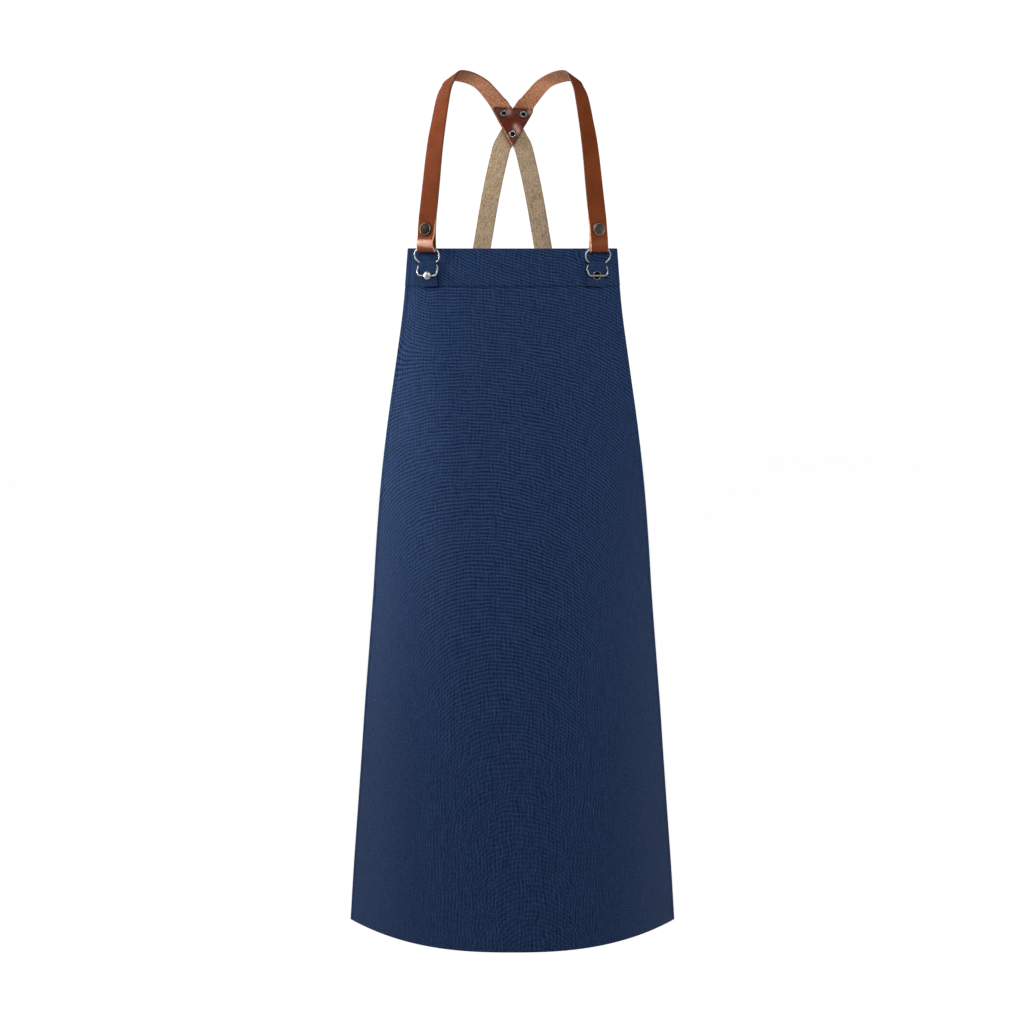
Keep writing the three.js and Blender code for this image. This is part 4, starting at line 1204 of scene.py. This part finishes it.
def strap_piece(name, side, hardware, fold_rows, layer):
    def station(height, proud, inward, up, right=0.0, lean=STRAP_LEAN):
        point = hardware.point(-side * lean * height, height, proud)
        return point, hardware.direction(inward, up, right), STRAP_WIDTH

    stations = [station(height, proud - spread, 1, 0, lean=TAIL_LEAN)
                for height, proud, spread, turn in reversed(fold_rows)]
    bend = WIRE_RADIUS + GAP + LEATHER / 2
    for k in range(1, FOLD_STEPS):
        turn = math.pi * k / FOLD_STEPS
        height, proud = BAR_HEIGHT - bend * math.sin(turn), BAR_PROUD - bend * math.cos(turn)
        stations.append(station(height, proud, math.cos(turn), -math.sin(turn)))
    for height, proud, spread, turn in fold_rows:
        turn = math.radians(turn)
        stations.append(station(height, proud, -math.cos(turn), 0, side * math.sin(turn)))
    stations += [row_station(row, side, layer, STRAP_WIDTH) for row in STRAP_ROWS]
    stations += crossing_stations(STRAP_CROSSING, side, layer, STRAP_WIDTH)
    column = 2 if side < 0 else 1
    upper, lower = [patch_surface(PATCH_ROWS[k][column], PATCH_ROWS[k][0])[0] for k in (1, -2)]
    kept = unit(np.array([side * (upper[2] - lower[2]), 0, abs(upper[0] - lower[0])]))
    cut = (Vector(lower + kept * STRAP_END_INSET), Vector(kept))
    mesh = band_mesh(f"strap_leather_{name}", stations, LEATHER, STRAP_EDGE, STRAP_SPACING, cut)
    piece = new_piece(mesh.name, mesh, [grains[name], cut_edges[name], flesh])
    stands_for(piece, f"strap_{name}")


def webbing_piece(name, side, layer):
    stations = crossing_stations(WEBBING_CROSSING, side, layer, WEBBING_WIDTH)
    stations += [row_station(row, side, layer, WEBBING_WIDTH) for row in WEBBING_ROWS]
    half = half_arc(WEBBING_SEAT_DOWN)
    for inset, clear in WEBBING_SEAT_ROWS:
        origin, _, _, inward = (v[0] for v in panel_frames(side * (half - inset), WEBBING_SEAT_DOWN))
        stations.append((origin + inward * (CLOTH + clear + WEBBING / 2), -inward, WEBBING_WIDTH))
    mesh = band_mesh(f"webbing_tape_{name}", stations, WEBBING, WEBBING_EDGE, WEBBING_SPACING)
    piece = new_piece(mesh.name, mesh, [webbing_weaves[name]] * 3)
    stands_for(piece, f"webbing_{name}")


def new_peg(name, radius, ends, centre, outward):
    """Round peg between two heights, for cutting a hole."""
    front, back = ends
    profile = np.array([(0, front), (radius, front), (radius, back), (0, back)])
    return new_piece(name, turned_mesh(name, profile, centre, outward), [])


def tab_piece(name, hardware):
    rows = [(height, TAB_BACK_PROUD, width, 1, 0) for height, width in TAB_BACK_ROWS]
    for k in range(FOLD_STEPS + 1):
        turn = math.pi * k / FOLD_STEPS
        height = CROSSBAR[1] + TAB_FOLD_RADIUS * math.sin(turn)
        proud = CROSSBAR[2] - TAB_FOLD_RADIUS * math.cos(turn)
        rows.append((height, proud, TAB_NECK, math.cos(turn), math.sin(turn)))
    rows += [(height, proud, width, -1, 0) for height, proud, width in TAB_FRONT_ROWS]
    stations = [(hardware.swung(0, h, proud), hardware.direction(inward, up), width)
                for h, proud, width, inward, up in rows]
    mesh = band_mesh(f"tab_cloth_{name}", stations, CLOTH, TAB_EDGE, TAB_SPACING)
    # Tab faces: outer, edges (in painted shade on the left tab), inner in painted shade
    piece = new_piece(mesh.name, mesh, [tab_canvas, tab_edges[name], canvas_painted_shade])
    if name == "right":
        centre = hardware.swung(0, LOWER_BAR_HEIGHT, 0)
        drill(piece, [new_peg("peg_tab", EYELET_SHANK, TAB_PEG, centre, -hardware.inward)])
    stands_for(piece, f"tab_{name}")


def tab_seam(hardware):
    """Two seams across the end of a tab."""
    rows = sorted(TAB_FRONT_ROWS)
    heights, prouds, _ = zip(*rows)
    half = TAB_WIDTH / 2 - TAB_SEAM_INSET
    lines = []
    for height in (TAB_END + TAB_SEAM_INSET, TAB_END + TAB_SEAM_INSET + TAB_SEAMS_APART):
        proud = np.interp(height, heights, prouds) + CLOTH / 2 + THREAD_LIFT
        run = np.linspace(-half, half, TAB_SEAM_POINTS)
        lines.append(([hardware.swung(x, height, proud) for x in run], False))
    return lines


def buckle_piece(name, hardware, tree):
    rows = [hardware.swung(x, h, p) for x, h, p in BUCKLE_ROWS]
    rows += [hardware.swung(-x, h, p) for x, h, p in reversed(BUCKLE_ROWS)]
    joined = 3
    path = smooth_path(rows[-joined:] + rows + rows[:joined])
    loop = [path(joined + len(rows) * k / BUCKLE_STEPS) for k in range(BUCKLE_STEPS)]
    half, height, proud = CROSSBAR
    bar = [hardware.swung(x, height, proud) for x in (-half, 0, half)]
    piece = line_piece(f"buckle_wire_{name}", [(loop, True), (bar, False)], tree,
                       {"Radius": WIRE_RADIUS * MM, "Finish": bright_steel})
    stands_for(piece, f"buckle_{name}")


def turned_piece(name, node, slot, finishes, profile, centre, outward, **looks):
    mesh = turned_mesh(name, profile, centre, outward, **looks)
    piece = new_piece(name, mesh, finishes)
    stands_for(piece, node)


def dome_button(hardware):
    turns = np.radians(range(0, 91, 9))
    rows = [(DOME_RADIUS * math.sin(turn), DOME_BRIM + DOME_RISE * math.cos(turn)) for turn in turns]
    turned_piece("dome_button_left", "button_left", "bright_metal", [bright_steel],
                 np.array(rows + DOME_BACK_ROWS), hardware.swung(0, LOWER_BAR_HEIGHT, 0), -hardware.inward)


def eyelet_ring(hardware):
    def in_bore(radius, proud):
        return int(radius < EYELET_BORE + BORE_MARGIN and 0 < proud < EYELET_RIM)

    turned_piece("eyelet_ring_right", "button_right", "bright_metal", [rivet_grey, bore_shade],
                 eased(EYELET_ROWS, EYELET_EASE), hardware.swung(0, LOWER_BAR_HEIGHT, 0),
                 -hardware.inward, slots=in_bore)


def snap_cap(name, side, hardware, seat):
    seat_proud, tilt, turn, spread = seat
    face, back = LEATHER / 2 + SNAP_CLEAR, -(spread + LEATHER / 2 + GAP)

    def worn_rim(radius, proud):
        on_rim = math.exp(-((radius - SNAP_RIM) / SNAP_RIM_WIDTH) ** 2)
        return METAL_WEAR * on_rim if proud > face + SNAP_BRIM else 0.0

    rows = [(radius, face + height) for radius, height in SNAP_FACE_ROWS]
    rows += [(radius, back + height) for radius, height in SNAP_BACK_ROWS]
    tilt, turn = math.radians(tilt), math.radians(turn)
    outward = hardware.direction(-math.cos(turn) * math.cos(tilt), math.cos(turn) * math.sin(tilt),
                                 side * math.sin(turn))
    centre = hardware.point(-side * STRAP_LEAN * SNAP_HEIGHT, SNAP_HEIGHT, seat_proud)
    turned_piece(f"snap_cap_{name}", f"snap_{name}", "snap_metal", [antiques[name]],
                 eased(rows, SNAP_EASE), centre, outward, wear=worn_rim)


def hump(dx, dz, across, along):
    return math.exp(-((dx / across) ** 2 + (dz / along) ** 2))


def patch_spot(x, z, left, right):
    """Front and back points of the patch at one place, and how much of dark rim and rivet shade, and of
    painted highlight, is there.
    """
    point, normal = patch_surface(x, z)
    to_side = min(x - left, right - x) * PATCH_SIDE_SLOPE
    to_edge = min(to_side, PATCH_ROWS[0][0] - z + PATCH_TOP_EASE)
    from_rivets = [(x - rivet_x, point[2] - rivet_z) for _, rivet_x, rivet_z, _ in RIVETS]
    sunk = PATCH_EDGE_SINK * math.exp(-to_edge / PATCH_EDGE_REACH)
    sunk += sum(RIVET_DENT * hump(dx, dz, *RIVET_DENT_REACH) for dx, dz in from_rivets)
    from_flange = min(math.hypot(dx, dz) for dx, dz in from_rivets) - RIVET_FLANGE
    # Rim at the edges, and painted shade round the rivet flanges
    rim = max(math.exp(-max(to_edge, 0) / PATCH_RIM_REACH), math.exp(-(from_flange / FLANGE_SHADE_REACH) ** 2))
    # Painted highlight spots
    wear_and_painted_highlight = sum(hump(x - at_x, point[2] - at_z, across, along) for at_x, at_z, across, along in PATCH_HIGHLIGHT_SPOTS)
    front = point + normal * (PATCH_OFFSET - PATCH / 2 + sunk)
    return front, point + normal * (PATCH_OFFSET + PATCH / 2), rim, min(1, wear_and_painted_highlight)


def patch_piece():
    heights = np.concatenate([np.linspace(*span) for span in PATCH_MESH_ROWS])
    inner_shares = np.linspace(*PATCH_INNER_SHARES)
    shares = np.concatenate([PATCH_EDGE_SHARES, inner_shares, 1 - PATCH_EDGE_SHARES[::-1]])
    order = PATCH_ROWS[::-1]
    lefts, rights = [np.interp(heights, order[:, 0], order[:, k]) for k in (1, 2)]
    spots = [patch_spot(left + (right - left) * share, z, left, right)
             for z, left, right in zip(heights, lefts, rights) for share in shares]
    front, back, rim, wear_and_painted_highlight = zip(*spots)
    faces = slab_faces(len(heights), len(shares))
    mesh = new_mesh("crossing_patch", np.concatenate([front, back]), faces, sharp=60)
    for label, values in (("rim", rim), ("wear_and_painted_highlight", wear_and_painted_highlight)):
        mesh.attributes.new(label, "FLOAT", "POINT").data.foreach_set("value", values + values)
    piece = new_piece("crossing_patch", mesh, [patch_leather])
    pegs = []
    for name, x, z, _ in RIVETS:
        centre, normal = back_surface(x, z)
        pegs.append(new_peg(f"peg_{name}", RIVET_SHANK + RIVET_CLEAR, PATCH_PEG, centre, -normal))
    drill(piece, pegs)
    soften_edges(piece, PATCH_EDGE, PATCH_EDGE_ANGLE)
    stands_for(piece, "back_patch")


def rivet_piece(name, x, z, layer):
    centre, normal = back_surface(x, z)
    face = PATCH / 2 - PATCH_OFFSET - RIVET_SUNK
    back = -(layer + WEBBING / 2 + RIVET_BACK_CLEAR)
    middle, tube = (RIVET_BORE + RIVET_FLANGE) / 2, (RIVET_FLANGE - RIVET_BORE) / 2

    def worn_crest(_, proud):
        return METAL_WEAR * max(0.0, (proud - face) / RIVET_RISE)

    def in_bore(radius, proud):
        return int(radius < RIVET_BORE + RIVET_BORE_MARGIN and 0 < proud < face + RIVET_BORE_RIM)

    turns = np.radians(range(180, -1, -12))
    rows = [(0, face - RIVET_BORE_DEPTH), (RIVET_BORE, face - RIVET_BORE_DEPTH)]
    rows += [(middle + tube * math.cos(turn), face + RIVET_RISE * math.sin(turn)) for turn in turns]
    rows += [(RIVET_SHANK, face)] + [(radius, back + height) for radius, height in RIVET_BACK_ROWS]
    turned_piece(f"rivet_ring_{name}", f"rivet_{name}", "rivet_metal", [rivet_grey, bore_shade],
                 np.array(rows), centre, -normal, wear=worn_crest, slots=in_bore)


panel = panel_piece()
sewing = thread_tree()
bending = wire_tree()
seams = seam_lines()
layers = {
    "left": (-1, LEFT_FOLD_ROWS, LEFT_SNAP, 0, WEBBING_LEFT_OFFSET),
    "right": (1, RIGHT_FOLD_ROWS, RIGHT_SNAP, STRAP_RIGHT_OFFSET, WEBBING_RIGHT_OFFSET),
}
for name, (side, fold_rows, snap_seat, strap_layer, tape_layer) in layers.items():
    hardware = Hardware(side)
    strap_piece(name, side, hardware, fold_rows, strap_layer)
    webbing_piece(name, side, tape_layer)
    tab_piece(name, hardware)
    buckle_piece(name, hardware, bending)
    snap_cap(name, side, hardware, snap_seat)
    (dome_button if side < 0 else eyelet_ring)(hardware)
    seams += tab_seam(hardware)
patch_piece()
for rivet in RIVETS:
    rivet_piece(*rivet)
stitches = line_piece("seam_thread", seams, sewing, {
    "Pitch": STITCH_PITCH * MM,
    "Stitch length": STITCH_LENGTH * MM,
    "Thread width": THREAD * MM,
    "Finish": thread,
})
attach(stitches, "root")


# Studio in metres: pale floor, white surroundings, soft light from the front and both sides, and the camera

FLOOR_REACH = 40
FLOOR_LEVEL = -2.8
FLOOR_GLOW_SPAN = (0.2, 1.1)
FLOOR_GLOW = (0.30, 0.85)
WHITE = (1, 1, 1, 1)
SURROUNDINGS_LIGHT = 0.15
SURROUNDINGS_SEEN = 1.05

# Lamps: name, place, target, width and height, power in watts, spread in degrees
LAMPS = [
    ("front", (0.3, -2.6, 1.3), (0, 0, -0.4), (1.2, 1.0), 69, 180),
    ("left_side", (-1.58, -0.28, 0.5), (0, 0, -0.4), (0.45, 0.6), 27.5, 180),
    ("left_edge", (-1.03, 1.23, 0.0), (0, 0, -0.4), (0.35, 1.2), 26, 180),
    ("left_rim", (-1.48, 0.6, -0.2), (-0.13, -0.06, -0.27), (0.3, 0.4), 1.8, 40),
    ("right_side", (1.55, -0.41, -0.2), (0, 0, -0.4), (0.6, 0.8), 5.8, 180),
    ("right_edge", (1.03, 1.23, -0.9), (0.15, 0, -0.95), (0.35, 1.0), 5, 180),
]

# Camera: lens and sensor in millimetres, place and far limit in metres, tilt from straight down in degrees
LENS = 118.716
SENSOR = 36
CAMERA_PLACE = (-0.0006, -4.310, -0.216)
CAMERA_TILT = 85.5365
FAR_LIMIT = 200


def soft_light(name, place, target, size, power, spread):
    lamp = bpy.data.lights.new(name, "AREA")
    lamp.shape = "RECTANGLE"
    lamp.size, lamp.size_y = size
    lamp.energy = power
    lamp.spread = math.radians(spread)
    holder = bpy.data.objects.new(name, lamp)
    holder.location = place
    holder.rotation_euler = (Vector(target) - Vector(place)).to_track_quat("-Z", "Y").to_euler()
    bpy.context.scene.collection.objects.link(holder)


def floor_finish():
    """Pale paper that glows more towards the back."""
    f = Finish("pale floor paper", Roughness=0.9, Specular_IOR_Level=0.1, Emission_Color=WHITE)
    back = f.add("ShaderNodeSeparateXYZ", output="Y", i0=f.place())
    low, high = FLOOR_GLOW
    f.feed("Emission Strength", f.poly(f.band(back, *FLOOR_GLOW_SPAN), low, high - low))
    f.colour(f.ramp(f.noise(0.4, detail=2), PAPER_TONES, low=0.3, high=0.7))
    return f.material


def studio():
    floor_mesh = bpy.data.meshes.new("studio_floor")
    corners = [(-1, -1), (1, -1), (1, 1), (-1, 1)]
    points = [(x * FLOOR_REACH, y * FLOOR_REACH, FLOOR_LEVEL) for x, y in corners]
    floor_mesh.from_pydata(points, [], [(0, 1, 2, 3)])
    floor = new_piece("studio_floor", floor_mesh, [floor_finish()])
    world = bpy.data.worlds.new("white surroundings")
    world.use_nodes = True
    bpy.context.scene.world = world
    nodes, links = world.node_tree.nodes, world.node_tree.links
    seen = nodes.new("ShaderNodeLightPath").outputs["Is Camera Ray"]
    strength = nodes.new("ShaderNodeMapRange")
    strength.inputs["To Min"].default_value = SURROUNDINGS_LIGHT
    strength.inputs["To Max"].default_value = SURROUNDINGS_SEEN
    links.new(seen, strength.inputs["Value"])
    links.new(strength.outputs[0], nodes["Background"].inputs["Strength"])
    nodes["Background"].inputs["Color"].default_value = WHITE
    for lamp in LAMPS:
        soft_light(*lamp)
    bpy.context.scene.view_settings.view_transform = "Standard"


def camera():
    lens = bpy.data.cameras.new("camera")
    lens.lens = LENS
    lens.sensor_width = SENSOR
    lens.clip_end = FAR_LIMIT
    holder = bpy.data.objects.new("camera", lens)
    holder.location = CAMERA_PLACE
    holder.rotation_euler = (math.radians(CAMERA_TILT), 0, 0)
    bpy.context.scene.collection.objects.link(holder)
    bpy.context.scene.camera = holder


studio()
camera()
